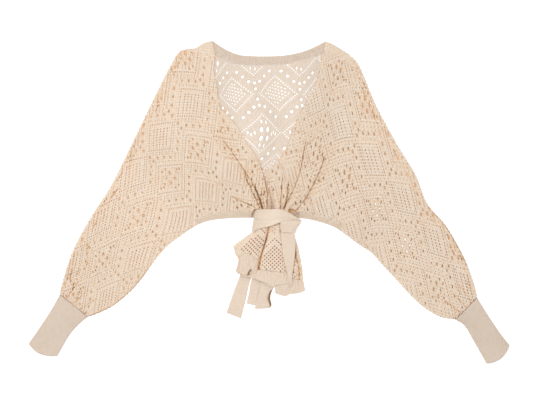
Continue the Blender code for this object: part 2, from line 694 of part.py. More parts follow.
def build_cuff(name, sections, rib, parent):
    """A long plain cuff, pressed flat."""
    rows = curve_through(sections, 44.0)
    way = rows[-1] - rows[-2]
    way = (way[:2] + way[2:]) / np.linalg.norm(way[:2] + way[2:])
    outer, inner = [], []
    for k, (x0, y0, x1, y1) in enumerate(rows):
        centre = np.array([(x0 + x1) / 2, (y0 + y1) / 2])
        width = np.hypot(x1 - x0, y1 - y0) / 2
        across = np.array([x1 - x0, y1 - y0]) / (2 * width)
        bow = CUFF_BOW * (k / (len(rows) - 1)) ** 3
        for rings, inset in ((outer, 0.0), (inner, WALL)):
            ring = pressed(centre, across, width - inset, inset, CUFF_HEIGHT - inset)
            u = (ring[:, :2] - centre) @ across / width
            ring[:, :2] += np.outer(bow * (1 - u ** 2), way)
            rings.append(ring)
    tube(name, np.array(outer), np.array(inner), rib, parent)


def build_tie(parent, lace, rib, band):
    """The wrap round the gathered fronts, their tails below it, and the tie's free ends."""
    sides = 24
    outer, inner = [], []
    for y, left, right in WRAP:
        centre = ((left + right) / 2, y)
        half = (right - left) / 2
        outer.append(flattened(centre, (1, 0), half, UPPER_LEVEL, WRAP_TOP, sides, 3.4))
        inner.append(flattened(centre, (1, 0), half - WRAP_WALL, UPPER_LEVEL + WRAP_WALL,
                               WRAP_TOP - WRAP_WALL, sides, 3.4))
    tube("tie_wrap", np.array(outer), np.array(inner), band, parent)

    guides = crease_guides([(TAIL_FOLD[:-1], 6.0)])
    ties = curve_through(TIE_TOP, 12.0)
    guides += [ties[:, :2] - [reach, 0] for reach in (2.0, 6.5)]
    guides += [ties[:, 2:] + [reach, 0] for reach in (2.0, 6.5)]
    panel("tail_right", loop_of(straight_edges(TAIL_RIGHT, 14.0)), tail_underside, lace, parent,
          spacing=TAIL_SPACING)
    panel("tail_left", loop_of(straight_edges(TAIL_LEFT, 14.0)), tail_underside, lace, parent,
          guides=guides, spacing=TAIL_SPACING)
    for name, upper, lower in TAIL_BANDS:
        strip(name, upper, lower, tail_underside, rib, parent)
    build_end("tie_end_top", TIE_TOP, upper_end_underside, band, parent)
    build_end("tie_end_low", TIE_LOW, under_underside, band, parent)
    build_end("tie_end_middle", TIE_MIDDLE, under_underside, band, parent)


def build_end(name, sections, underside, band, parent):
    """One free end of the tie, a flat strip."""
    rows = curve_through(sections, 30.0)
    strip(name, rows[:, :2], rows[:, 2:], underside, band, parent, ribs=False)


def build():
    """The whole cardigan under one empty."""
    clear_scene()
    cardigan = bpy.data.objects.new("cardigan", None)
    bpy.context.scene.collection.objects.link(cardigan)
    lace = yarn("lace_knit", LACE_CREAM)
    rib = yarn("rib_knit", RIB_CREAM)
    band = yarn("tie_knit", TIE_CREAM)
    build_body(cardigan, lace, rib)
    build_sleeves(cardigan, lace, rib)
    build_tie(cardigan, lace, rib, band)


build()
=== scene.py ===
import bpy
import numpy as np
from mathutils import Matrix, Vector


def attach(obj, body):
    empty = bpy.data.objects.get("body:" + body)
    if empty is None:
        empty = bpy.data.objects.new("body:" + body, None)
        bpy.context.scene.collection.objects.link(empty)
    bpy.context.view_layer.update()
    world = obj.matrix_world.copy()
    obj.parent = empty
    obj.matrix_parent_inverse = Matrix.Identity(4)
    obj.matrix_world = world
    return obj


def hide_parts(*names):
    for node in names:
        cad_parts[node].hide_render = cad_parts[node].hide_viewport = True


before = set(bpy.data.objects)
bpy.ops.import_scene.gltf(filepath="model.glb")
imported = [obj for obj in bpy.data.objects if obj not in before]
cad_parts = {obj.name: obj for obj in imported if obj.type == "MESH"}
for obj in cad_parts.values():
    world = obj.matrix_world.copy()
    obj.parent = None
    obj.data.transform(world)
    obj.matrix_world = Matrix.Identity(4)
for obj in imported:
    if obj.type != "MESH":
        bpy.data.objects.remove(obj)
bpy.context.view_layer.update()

# Back: one panel of lace knit in cream cotton, sewn on at the shoulders and armholes. The cloth is a wall
# on a grid of stitches: those under an eyelet of the chart are left out, those round it drawn to its rim.
# Lengths are in millimetres, from the surface that the garment lies on. Right is the wearer's right.
MM = 0.001
CLOTH = 1.3               # thickness of the knit
WALES, ROWS = 48, 90      # stitches of the grid in one repeat of the lace, across and down
FOLD_RADIUS = 3.6         # how far in from a folded edge the cloth bends over
FOLD_LEAST = 0.04         # share of the thickness that is left at a folded edge
EDGE_RADIUS = 1.6         # how far in from a loose edge the cloth is rounded
EDGE_LEAST = 0.5          # share of the thickness that is left at a loose edge
LAYERS_MEET = 2.15        # height at which the two layers of a sleeve meet at its fold
EYELET_MARGIN, EYELET_ROOM = 1.2, 2.0   # cloth left at the edge, and more for each stitch of an eyelet
COVERED_SIZE = 0.5        # size of eyelets under another piece, drawn together

SHOULDER_RIGHT = [(-174, 337), (-159, 340), (-146, 349), (-125, 355)]
SHOULDER_LEFT = [(124, 354), (146, 344), (173, 327)]
ARMHOLE_RIGHT = [(-174, 337), (-183, 236), (-181, 137), (-172, 38), (-159, -50)]
ARMHOLE_LEFT = [(173, 327), (182, 236), (180, 137), (171, 38), (158, -64)]
NECK_BOTTOM = [(-133, 332), (-104, 317), (-70, 305), (-34, 303), (8, 303), (36, 305), (70, 313),
               (103, 322), (131, 331)]
HEM = [(-159, -50), (-130, -40), (-84, -35), (-36, -34), (15, -34), (68, -35), (103, -41),
       (140, -53), (158, -64)]
HEM_ENDS = (-158.5, 157.6)
HEM_BAND = 11.0
SEAM_GAP = 0.3
SEAM_SLOPE = 0.14         # sideways lean of the armhole seams at the hem
BACK_LACE = [
    # column, row of a mesh diamond (whole numbers) or of an open one (halves), x, y
    (0, 0, 14, 242), (-1, 0, -80, 238), (1, 0, 103, 236), (-0.5, -0.5, -36, 317), (0.5, -0.5, 67, 317),
    (-1.5, -0.5, -119, 313), (-0.5, 0.5, -10, 150), (0.5, 0.5, 80, 150), (-1.5, 0.5, -105, 150),
    (0, 1, 4, 70), (-1, 1, -88, 70), (1, 1, 96, 70), (0, 2, 0, -86), (-1, 2, -92, -86),
]
EYELETS = {
    # missing stitches on each side of the middle one, across and down, half size of the rim, slant
    "dot": (0, 0, 1.00, 1.02, 0.0),
    "slit": (0, 0, 1.00, 1.00, 0.20),
    "mesh": (0, 0, 1.12, 1.12, 0.34),
    "tall": (0, 1, 0.95, 2.10, 0.0),
    "round": (1, 1, 1.70, 1.80, 0.15),
    "long": (1, 2, 1.70, 3.00, 0.10),
}
BACK_NET = ((3, -3), (3, 1))    # steps between the eyelets of the net in the mesh diamond
MESH_SIZE, OPEN_SIZE = 20, 22   # half diagonals of the mesh diamond and the open one, in stitches
NET_REACH = 15                  # the same of the net in the mesh diamond
NET_STEPS = (16, 24)            # steps taken each way, of the net's two, to cover a repeat
PIN_ROOM, WIDE_ROOM = 2.6, 1.4  # stitches that a pin hole leaves to an eyelet, and more to a wide one
OPEN_DIAMOND = {
    # eyelets of the open diamond, in stitches from its middle
    "long": [(-3, -5), (4, -5), (-3, 5), (4, 5)],
    "tall": [(-9, -1), (-12, 1), (-15, -1), (10, 1), (13, -1), (16, 1), (-2, -14), (3, -13), (-3, 13),
             (2, 14)],
}
BAND_ROUNDS = [(6, 27), (12, 21), (18, 15)]     # round eyelets of a band, from the middle of a mesh diamond
CROSSING_ROUNDS = (6, 13)                       # and those where two bands cross, down from that crossing
MESH_RISE = 0.22                                # height of the mesh above the plain cloth
CHAIN_RELIEF = [
    # height, stitches from a chain, width: the ridges on both sides, the chain, the next ridge and furrow
    (0.38, 2.8, 1.3), (-0.12, 0, 1.3), (0.30, 8.6, 1.2), (-0.15, 5.8, 1.2),
]


def ease(x):
    """0 below 0, 1 above 1, and 3x^2 - 2x^3 between."""
    x = np.clip(x, 0, 1)
    return x * x * (3 - 2 * x)


def bell(distance, width):
    """A gaussian: exp of minus the square of distance / width."""
    return np.exp(-(distance / width) ** 2)


def curve_through(points, spacing=4.0):
    """Points about `spacing` apart on a Catmull-Rom curve through `points`."""
    p = np.array(points, float)
    ends = np.vstack([2 * p[0] - p[1], p, 2 * p[-1] - p[-2]])
    out = []
    for i in range(len(p) - 1):
        a, b, c, d = ends[i:i + 4]
        steps = max(1, int(round(np.linalg.norm(c - b) / spacing)))
        t = np.arange(steps)[:, None] / steps
        out.append(0.5 * (2 * b + (c - a) * t + (2 * a - 5 * b + 4 * c - d) * t ** 2
                          + (3 * b - a - 3 * c + d) * t ** 3))
    return np.vstack(out + [p[-1:]])


def along(points, count):
    """`count` points evenly spaced along a polyline."""
    p = np.array(points, float)
    reach = np.concatenate([[0], np.cumsum(np.linalg.norm(np.diff(p, axis=0), axis=1))])
    at = np.linspace(0, reach[-1], count)
    return np.column_stack([np.interp(at, reach, p[:, k]) for k in range(p.shape[1])])


def loop_of(*edges):
    """One closed outline from edges that follow each other, without points nearer than `least`."""
    least = 0.8
    points = np.vstack(edges)
    kept = [points[0]]
    for p in points[1:]:
        if np.hypot(*(p - kept[-1])) > least:
            kept.append(p)
    if np.hypot(*(kept[-1] - kept[0])) < least:
        kept.pop()
    return np.array(kept)


def nearest(path, points):
    """Distance of each point from a polyline, how far along it from 0 to 1, and the nearest place on it."""
    q = np.asarray(path, float)
    step = np.diff(q, axis=0)
    length = np.maximum(np.hypot(step[:, 0], step[:, 1]), 1e-9)
    start = np.concatenate([[0], np.cumsum(length)])
    best = np.full(len(points), np.inf)
    place = np.zeros(len(points))
    foot = np.zeros((len(points), 2))
    for k in range(len(step)):
        t = np.clip((points - q[k]) @ step[k] / length[k] ** 2, 0, 1)
        here = q[k] + t[:, None] * step[k]
        gap = np.hypot(points[:, 0] - here[:, 0], points[:, 1] - here[:, 1])
        closer = gap < best
        best[closer] = gap[closer]
        place[closer] = (start[k] + t[closer] * length[k]) / start[-1]
        foot[closer] = here[closer]
    return best, place, foot


def inside(outline, points):
    """Whether each point lies in a closed polygon, by counting the edges to its right."""
    odd = np.zeros(len(points), bool)
    for a, b in zip(outline, np.roll(outline, -1, axis=0)):
        if a[1] != b[1]:
            spans = (a[1] > points[:, 1]) != (b[1] > points[:, 1])
            odd ^= spans & (points[:, 0] < a[0] + (points[:, 1] - a[1]) * (b[0] - a[0]) / (b[1] - a[1]))
    return odd


def layout(table):
    """Thin-plate spline from the lace's columns and rows to the plane: weighted d^2 log d terms, one for
    each place of the table, and an affine part, so that it passes through every place."""
    t = np.array(table, float)
    source, target = t[:, :2], t[:, 2:]

    def terms(points):
        d = np.maximum(np.linalg.norm(points[:, None] - source[None], axis=2), 1e-9)
        return np.hstack([d ** 2 * np.log(d), np.ones((len(points), 1)), points])
    n = len(source)
    system = np.zeros((n + 3, n + 3))
    system[:n] = terms(source)
    system[n:, :n] = system[:n, n:].T
    weights = np.linalg.solve(system, np.vstack([target, np.zeros((3, 2))]))
    return lambda points: terms(points) @ weights


def lace_marks(net, pins=False, sparse=False):
    """One repeat as (x, y, kind) in stitches from the middle of a mesh diamond. A net of slanted eyelets,
    sums of its two steps, fills that diamond, a chain of small ones frames both diamonds, and a band with
    round eyelets runs between them. Pin holes fill the places left, on the same steps as the net. A
    `sparse` chart leaves out every second eyelet on two sides of each chain, where the cloth is drawn."""
    marks = []
    middle_x, middle_y = WALES // 2, ROWS // 2
    for size, at_x, at_y in ((MESH_SIZE, 0, 0), (OPEN_SIZE, middle_x, middle_y)):
        for x in range(-size, size + 1, 2):
            for y in {size - abs(x), abs(x) - size}:
                if not (sparse and x * y < 0 and (x - size) % 4):
                    marks.append((at_x + x, at_y + y, "slit" if x * y > 0 else "dot"))
    places = [(a * net[0][0] + b * net[1][0], a * net[0][1] + b * net[1][1])
              for a in range(-NET_STEPS[0], NET_STEPS[0] + 1) for b in range(-NET_STEPS[1], NET_STEPS[1] + 1)]
    marks += [(x, y, "mesh") for x, y in places if abs(x) + abs(y) <= NET_REACH]
    for kind, diamond in OPEN_DIAMOND.items():
        marks += [(middle_x + x, middle_y + y, kind) for x, y in diamond]
    for end in (-1, 1):
        marks += [(side * x, end * y, "round") for side in (-1, 1) for x, y in BAND_ROUNDS]
        marks += [(middle_x, end * y, "round") for y in CROSSING_ROUNDS]
    if not pins:
        return marks
    room = [PIN_ROOM + WIDE_ROOM * (kind in ("round", "long")) for _, _, kind in marks]
    taken = np.array([(x % WALES, y % ROWS) for x, y, _ in marks])
    for x, y in places:
        if 0 <= x < WALES and 0 <= y < ROWS:
            across = (x - taken[:, 0] + WALES / 2) % WALES - WALES / 2
            down = (y - taken[:, 1] + ROWS / 2) % ROWS - ROWS / 2
            if (np.hypot(across, down) > room).all():
                marks.append((x, y, "pin"))
    return marks


def lace_grids(marks, eyelets, lean):
    """The repeat as grids over its stitches: 0 for cloth, 1 for a rim, 2 for a gap; the step from each
    stitch to the middle of its eyelet; how far a rim stitch moves to lie on the eyelet's oval; and the
    eyelet's half size. A `lean` of -1 mirrors the repeat, so that its slits lean the other way."""
    role = np.zeros((WALES, ROWS), int)
    middle = np.zeros((WALES, ROWS, 2), int)
    move = np.zeros((WALES, ROWS, 2))
    size = np.zeros((WALES, ROWS))
    for x, y, kind in marks:
        across, down, wide, high, slant = eyelets[kind]
        for i in range(-across - 1, across + 2):
            for j in range(-down - 1, down + 2):
                at = ((lean * x + i) % WALES, (y + j) % ROWS)
                gap = abs(i) <= across and abs(j) <= down
                if (abs(i) > across and abs(j) > down) or role[at] == 2:
                    continue
                role[at] = 2 if gap else 1
                middle[at] = (-i, -j)
                size[at] = high
                if not gap:
                    u, v = np.array([i, j]) / np.hypot(i, j)
                    move[at] = (wide * u - lean * slant * v - i, high * v - lean * slant * u - j)
    return role, middle, move, size


def lace_relief():
    """Height of the knit over the repeat: a furrow along each chain between two soft ridges, gaussians of
    the distance from it, and a mesh that stands a little higher than the plain cloth."""
    x = np.abs((np.arange(WALES)[:, None] + WALES // 2) % WALES - WALES // 2)
    y = np.abs((np.arange(ROWS)[None] + ROWS // 2) % ROWS - ROWS // 2)
    mesh = x + y - float(MESH_SIZE)
    other = (WALES // 2 - x) + (ROWS // 2 - y) - float(OPEN_SIZE)
    relief = MESH_RISE * ease((-4 - mesh) / 2)
    for d in (mesh, other):
        for distance, (height, at, width) in zip((np.abs(d), d, d, d), CHAIN_RELIEF):
            relief = relief + height * bell(distance - at, width)
    return relief


def wall_faces(there):
    """Faces of a grid with stitches missing: a square where all four are there, a triangle where three."""
    number = np.arange(there.size).reshape(there.shape)
    corner = [number[:-1, :-1], number[1:, :-1], number[1:, 1:], number[:-1, 1:]]
    has = [there[:-1, :-1], there[1:, :-1], there[1:, 1:], there[:-1, 1:]]
    count = sum(h.astype(int) for h in has)
    squares = np.stack([c[count == 4] for c in corner], axis=1)
    triangles = []
    for k in range(4):
        one_out = (count == 3) & ~has[k]
        triangles.append(np.stack([corner[(k + n) % 4][one_out] for n in (1, 2, 3)], axis=1))
    return squares, np.vstack(triangles)


def wall(name, flat, low, high, squares, triangles, stitch, material, tone, inner=(0, 0)):
    """A sheet of cloth with thickness: its faces above, the same ones turned over below, and a rim along
    every open edge. The material reads `stitch`, the place in the knit, with `tone`, its relief and its lines
    of painted shade, which it turns into painted shade, and `inner`, which is 1 where the upper and the lower
    faces look into the garment, which it paints with a warmer, deeper shade and a faint glow."""
    a, b, c = (flat[squares[:, k]] for k in range(3))
    if ((b - a)[:, 0] * (c - a)[:, 1] - (b - a)[:, 1] * (c - a)[:, 0]).sum() < 0:
        squares, triangles = squares[:, ::-1], triangles[:, ::-1]
    total = len(flat)
    edges = np.vstack([np.stack([face, np.roll(face, -1, axis=1)], axis=2).reshape(-1, 2)
                       for face in (squares, triangles)])
    ways = edges[:, 0] * total + edges[:, 1]
    rim = edges[~np.isin(ways, edges[:, 1] * total + edges[:, 0])]
    rims = np.column_stack([rim[:, 1], rim[:, 0], rim[:, 0] + total, rim[:, 1] + total])
    faces = squares.tolist() + triangles.tolist() + (squares[:, ::-1] + total).tolist()
    faces += (triangles[:, ::-1] + total).tolist() + rims.tolist()
    points = np.vstack([np.column_stack([flat, high]), np.column_stack([flat, low])]) * MM
    mesh = bpy.data.meshes.new(name)
    mesh.from_pydata(points.tolist(), [], faces)
    return cloth_piece(name, mesh, stitch, tone, inner, material)


def cloth_piece(name, mesh, stitch, tone, inner, material):
    """The object of a mesh whose second half of points repeats the first on the other face."""
    layer = mesh.attributes.new("stitch", "FLOAT_VECTOR", "POINT")
    layer.data.foreach_set("vector", np.tile(np.column_stack([stitch, tone]), (2, 1)).ravel())
    layer = mesh.attributes.new("inner", "FLOAT", "POINT")
    layer.data.foreach_set("value", np.concatenate([np.full(len(tone), face, float) for face in inner]))
    mesh.materials.append(material)
    mesh.shade_smooth()
    piece = bpy.data.objects.new(name, mesh)
    bpy.context.scene.collection.objects.link(piece)
    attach(piece, "root")
    return piece


def on_surface(points):
    """Height of the underside of a piece that lies flat on the surface."""
    return np.zeros(len(points))


def round_off(distance, radius, least):
    """Share of the thickness near an edge: a quarter circle of `radius`, never under `least`."""
    return np.maximum(np.sqrt(1 - (1 - np.clip(distance / radius, 0, 1)) ** 2), least)


def lace_panel(name, outline, table, span, underside, material, chart, size=1.0, bare=(), folds=(), seams=(),
               shade_lines=(), under=False, cover=None, pulled=None, slits=(), opened=()):
    """A panel cut from the lace: the grid of stitches laid out by `table` over `span` repeats, kept inside
    the outline. `underside` gives the cloth's height from points. `bare` lists (path, reach) without
    eyelets, `folds` the edges where the cloth turns over, `seams` the edges with a ridge beside them.
    An upper layer thins downwards at a fold, an `under` one upwards. `cover` is the outline of what lies
    on the piece, where its face is an inner one and the eyelets are drawn together. Inner faces, the lower
    face of an upper layer, the upper face of an `under` one without `cover` and any face where `cover` lies,
    get a painted shade and glow. `size` scales the eyelets, which grow by up to PULLED_OPEN towards the path
    `pulled`. `shade_lines` are lines (path, width, depth) of painted shade, and `slits` (path, inset, pitch)
    are rows of short marks of painted shade beside a folded edge.
    `opened` are points where the cloth is cut through, so that light comes up through the eyelets above."""
    role_grid, middle_grid, move_grid, size_grid = chart
    lay = layout(table)
    wale, row = np.meshgrid(np.arange(int(span[0] * WALES), int(span[1] * WALES)),
                            np.arange(int(span[2] * ROWS), int(span[3] * ROWS)), indexing="ij")
    shape = wale.shape
    place = lay(np.column_stack([wale.ravel() / WALES, row.ravel() / ROWS]))
    closed = np.vstack([outline, outline[:1]])
    kept = inside(outline, place)
    edge = np.zeros(len(place))
    edge[kept] = nearest(closed, place[kept])[0]
    allowed = kept.copy()
    for path, reach in bare:
        allowed[kept] &= nearest(path, place[kept])[0] > reach
    kept, edge, allowed = kept.reshape(shape), edge.reshape(shape), allowed.reshape(shape)
    at = (wale % WALES, row % ROWS)
    home = (np.clip(np.arange(shape[0])[:, None] + middle_grid[at][..., 0], 0, shape[0] - 1),
            np.clip(np.arange(shape[1])[None] + middle_grid[at][..., 1], 0, shape[1] - 1))
    clear = edge[home] > EYELET_MARGIN + EYELET_ROOM * size_grid[at]
    role = np.where(allowed[home] & clear, role_grid[at], 0)
    for spot in opened:
        role[(np.hypot(*(place - spot).T) < OPENED).reshape(shape)] = 2
    outer = np.pad(kept, 1)
    rim = kept & ~(outer[2:, 1:-1] & outer[:-2, 1:-1] & outer[1:-1, 2:] & outer[1:-1, :-2])
    scale = np.full(shape, size)
    if pulled is not None:
        nearness = np.exp(-nearest(pulled, place)[0] / PULL_REACH).reshape(shape)
        scale = size * (1 + PULLED_OPEN * nearness)[home]
    if cover is not None:
        scale[inside(cover, place).reshape(shape)[home]] = COVERED_SIZE
    shift = (move_grid[at] - middle_grid[at]) * scale[..., None] + middle_grid[at]
    moved = np.stack([wale, row], axis=2) + shift * (role == 1)[..., None]
    place = lay(moved.reshape(-1, 2) / [WALES, ROWS])
    place[rim.ravel()] = nearest(closed, place[rim.ravel()])[2]
    squares, triangles = wall_faces(kept & (role != 2))
    used, number = np.unique(np.concatenate([squares.ravel(), triangles.ravel()]), return_inverse=True)
    squares, triangles = number[:squares.size].reshape(-1, 4), number[squares.size:].reshape(-1, 3)
    flat = place[used]
    share = round_off(nearest(closed, flat)[0], EDGE_RADIUS, EDGE_LEAST)
    to_fold = np.min([nearest(path, flat)[0] for path in folds] + [np.full(len(flat), np.inf)], axis=0)
    share[to_fold < EDGE_RADIUS] = 1.0
    fold = round_off(to_fold, FOLD_RADIUS, FOLD_LEAST)
    relief = RELIEF[at].ravel()[used]
    tone = relief.copy()
    # Painted shade along the crease lines.
    for path, width, depth in shade_lines:
        gap, way, _ = nearest(path, flat)
        tone -= depth * bell(gap, width) * ease(way * 4)
    # Painted shade of dark slits, where no eyelet is cut.
    for path, inset, pitch in slits:
        tone -= painted_slit_row(np.array(path, float), inset, pitch, flat)
    for path in seams:
        relief = relief + SEAM_RIDGE * bell(nearest(path, flat)[0] - SEAM_AT, SEAM_WIDTH)
    low = underside(flat)
    if under:
        high = low + (CLOTH + relief) * share
        low = LAYERS_MEET + (low - LAYERS_MEET) * fold
        high = LAYERS_MEET + (high - LAYERS_MEET) * fold
    else:
        high = low + (CLOTH * steepness(underside, flat) + relief) * share * fold
    covered = under if cover is None else inside(cover, flat)
    return wall(name, flat, low, high, squares, triangles, moved.reshape(-1, 2)[used], material, tone,
                inner=(covered, not under))


def hem_line(rise, low_x=None, high_x=None):
    """The hem raised by `rise`, between two places across, or up to a seam where none is given."""
    hem = curve_through(HEM, 6.0)
    low_x = HEM_ENDS[0] - rise * SEAM_SLOPE if low_x is None else low_x
    high_x = HEM_ENDS[1] + rise * SEAM_SLOPE if high_x is None else high_x
    x = np.linspace(low_x, high_x, max(3, int((high_x - low_x) / 4) + 1))
    return np.column_stack([x, np.interp(x, hem[:, 0], hem[:, 1]) + rise])


def node(tree, kind, inputs=(), **settings):
    """A shader node with its settings, fed from sockets or given numbers."""
    made = tree.nodes.new(kind)
    for key, value in settings.items():
        setattr(made, key, value)
    for key, value in dict(inputs).items():
        if isinstance(value, bpy.types.NodeSocket):
            tree.links.new(value, made.inputs[key])
        else:
            made.inputs[key].default_value = value
    return made


def maths(tree, operation, *values):
    """The output of one Math node."""
    return node(tree, "ShaderNodeMath", dict(enumerate(values)), operation=operation).outputs[0]


INNER_SHADE_AND_GLOW = (0.94, 0.59, 0.33)      # painted shade of the faces that look into the garment, warmer and deeper, also the colour of their glow
PAINTED_INNER_GLOW = 0.05            # painted glow of those faces, for the light that comes through the cloth
CREASE_SHADE = (0.30, 0.14, 0.06)    # painted shade deep in a crease
GAP_SPACING = 2.0               # stitches between the holes in the knit


def knit(name, light, dark, wale_rate=0.72, row_rate=0.9, gaps=0.0):
    """Matt cotton knit: V stitches from the place in the knit, with painted shade that makes it tanner
    between the yarns and in the furrows of the relief and lighter on its ridges, with fuzz and slow changes
    of tone. A leg of a stitch is the sine of its row plus half its place in the wale. `gaps` deepens the
    holes between stitches, in the bump and as
    painted shade: the product of two cosines of the place. Faces that look into the garment get a warmer,
    deeper painted shade and a faint painted glow, and creases, where the relief is below -0.7, a deeper
    painted shade still."""
    material = bpy.data.materials.new(name)
    material.use_nodes = True
    tree = material.node_tree
    shader = tree.nodes["Principled BSDF"]
    stitch = node(tree, "ShaderNodeAttribute", attribute_name="stitch").outputs["Vector"]
    parts = node(tree, "ShaderNodeSeparateXYZ", {0: stitch})
    wale = maths(tree, "MULTIPLY", parts.outputs[0], wale_rate)
    leg = maths(tree, "PINGPONG", wale, 0.5)
    slope = maths(tree, "MULTIPLY_ADD", parts.outputs[1], row_rate, leg)
    turn = maths(tree, "SINE", maths(tree, "MULTIPLY", slope, 2 * np.pi))
    crown = maths(tree, "SINE", maths(tree, "MULTIPLY", leg, 2 * np.pi))
    yarn = maths(tree, "MULTIPLY_ADD", turn, 0.25, maths(tree, "MULTIPLY_ADD", crown, 0.6, 0.25))
    across = maths(tree, "COSINE", maths(tree, "MULTIPLY", parts.outputs[0], np.pi / GAP_SPACING))
    down = maths(tree, "COSINE", maths(tree, "MULTIPLY", parts.outputs[1], np.pi / GAP_SPACING))
    gap = maths(tree, "POWER", maths(tree, "MAXIMUM", maths(tree, "MULTIPLY", across, down), 0.0), 1.5)
    where = node(tree, "ShaderNodeTexCoord").outputs["Object"]
    fuzz = node(tree, "ShaderNodeTexNoise", {"Vector": where, "Scale": 700.0, "Detail": 3.0}).outputs[0]
    tone = node(tree, "ShaderNodeTexNoise", {"Vector": where, "Scale": 22.0, "Detail": 2.0}).outputs[0]
    streaks = node(tree, "ShaderNodeMapping", {"Vector": stitch, "Scale": (0.45, 0.16, 0.0)}).outputs[0]
    streak = node(tree, "ShaderNodeTexNoise", {"Vector": streaks, "Scale": 1.0, "Detail": 2.0}).outputs[0]
    height = maths(tree, "MULTIPLY_ADD", fuzz, 0.4, maths(tree, "MULTIPLY_ADD", streak, 1.2, yarn))
    height = maths(tree, "MULTIPLY_ADD", gap, -gaps, height)
    bump = node(tree, "ShaderNodeBump", {"Height": height, "Strength": 0.8, "Distance": 0.0009})
    # Painted shade in the colour: tanner between the yarns, in the gaps and in the furrows of the relief.
    mix = maths(tree, "MULTIPLY_ADD", yarn, 0.3, maths(tree, "MULTIPLY_ADD", streak, 1.2, -0.05))
    mix = maths(tree, "MULTIPLY_ADD", parts.outputs[2], 0.45, mix)
    mix = maths(tree, "MULTIPLY_ADD", gap, -gaps, mix)
    mix = maths(tree, "MULTIPLY_ADD", tone, 0.4, maths(tree, "SUBTRACT", mix, 0.1))
    mix = node(tree, "ShaderNodeClamp", {0: mix}).outputs[0]
    colour = node(tree, "ShaderNodeMix", {0: mix, 6: (*dark, 1), 7: (*light, 1)}, data_type="RGBA")
    inner = node(tree, "ShaderNodeAttribute", attribute_name="inner").outputs["Fac"]
    colour = node(tree, "ShaderNodeMix", {0: inner, 6: colour.outputs[2], 7: (*INNER_SHADE_AND_GLOW, 1)}, data_type="RGBA")
    # Painted shade in creases, where the relief with its shade lines is below about -0.7.
    crease = maths(tree, "MULTIPLY_ADD", parts.outputs[2], -1.2, -0.85)
    crease = node(tree, "ShaderNodeClamp", {0: crease}).outputs[0]
    crease_shading = {0: crease, 6: colour.outputs[2], 7: (*CREASE_SHADE, 1)}
    colour = node(tree, "ShaderNodeMix", crease_shading, data_type="RGBA")
    tree.links.new(colour.outputs[2], shader.inputs["Base Color"])
    tree.links.new(bump.outputs[0], shader.inputs["Normal"])
    # Painted glow of the inner faces, for the light that comes through the cloth.
    shader.inputs["Emission Color"].default_value = (*INNER_SHADE_AND_GLOW, 1)
    tree.links.new(maths(tree, "MULTIPLY", inner, PAINTED_INNER_GLOW), shader.inputs["Emission Strength"])
    shader.inputs["Roughness"].default_value = 0.92
    shader.inputs["Specular IOR Level"].default_value = 0.25
    shader.inputs["Sheen Weight"].default_value = 0.1
    shader.inputs["Sheen Roughness"].default_value = 0.6
    return material


BACK_CHART = lace_grids(lace_marks(BACK_NET), EYELETS, 1)
RELIEF = lace_relief()
# The knits are copies of one cotton, each set lighter or darker as painted light and shade; the back's single
# layer is a little greyer.
LACE = knit("lace_knit_yarn", (0.855, 0.73, 0.605), (0.80, 0.52, 0.30), gaps=0.8)
SINGLE_LACE = knit("lace_knit_single_layer", (0.83, 0.715, 0.61), (0.74, 0.55, 0.40), gaps=0.5)

V_EDGE_RIGHT = [(-125, 355), (-119, 322), (-122, 290), (-114, 249), (-110, 214), (-84, 184),
                (-63, 155), (-44, 124), (-25, 93), (-10, 58), (-1, 27), (4, 4), (5, -16)]
V_EDGE_LEFT = [(124, 354), (118, 326), (110, 282), (101, 256), (78, 211), (66, 190), (54, 166),
               (46, 139), (33, 108), (14, 86), (-7, 70), (-3, 45), (3, 20), (8, 0), (9, -16)]
seam_right = curve_through(ARMHOLE_RIGHT)
seam_left = curve_through(ARMHOLE_LEFT)
neck_seam = curve_through(NECK_BOTTOM) - [0, SEAM_GAP]
shoulder_right = curve_through(SHOULDER_RIGHT)
shoulder_left = curve_through(SHOULDER_LEFT)
hem_top = HEM_BAND + SEAM_GAP
back = lace_panel(
    "back_lace",
    loop_of(seam_right[seam_right[:, 1] > -33], hem_line(hem_top), seam_left[seam_left[:, 1] > -46][::-1],
            shoulder_left[shoulder_left[:, 1] < 348][::-1], neck_seam[::-1],
            shoulder_right[shoulder_right[:, 1] < 348][::-1]),
    BACK_LACE, (-3, 3, -1.5, 2.5), on_surface, SINGLE_LACE, BACK_CHART, under=True,
    cover=np.array([(-400, 400), *V_EDGE_RIGHT, *V_EDGE_LEFT[::-1], (400, 400), (400, -400), (-400, -400)]))
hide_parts("back")

# Fronts and the upper halves of the sleeves: on each side one panel of the same lace, since the lace runs
# on from the front over the armhole. It lies on the under layer, puffed a little, folds over at the
# sleeve's edges and at the cuff, and is pleated into the tie.
UPPER_LEVEL = 2.3         # height of the under layer's top, with the gap above it
PUFF, PUFF_REACH = 1.0, 24.0          # how far the upper layer stands off, and over which distance
PLEAT_HEIGHT, PLEAT_REACH = 11.0, 62.0
MOUTH_LIFT, MOUTH_REACH = 3.6, 40.0   # rise of the fronts into the tie
MOUTH_Y = -24.0                       # how far the fronts reach into the tie
HEM_AT_TIE = (-38.0, 65.0)            # where the hems of the fronts end beside the tie
HEM_FADE, EDGE_FADE = 22, 12          # reach over which pleats fade to the hem, and folds to any edge
LAP_SHARP, LAP_REACH = 1.6, 9.0       # distances over which a lap rises and falls
STEEPEST = 1.4                        # most that a sloping wall is made taller
SEAM_RIDGE, SEAM_AT, SEAM_WIDTH = 0.7, 5, 1.3     # the ridge beside the lower fold of a sleeve
PULLED_OPEN, PULL_REACH = 0.7, 16     # how much larger eyelets are at the outer fold, and how far from it
SLIT_DEPTH, SLIT_VARIES = 1.35, 0.45  # depth of the painted shade of the slits beside a fold, and how much it varies
SLIT_WIDTH, SLIT_LENGTH = 1.5, 0.3    # their half width, and half length as a share of their pitch
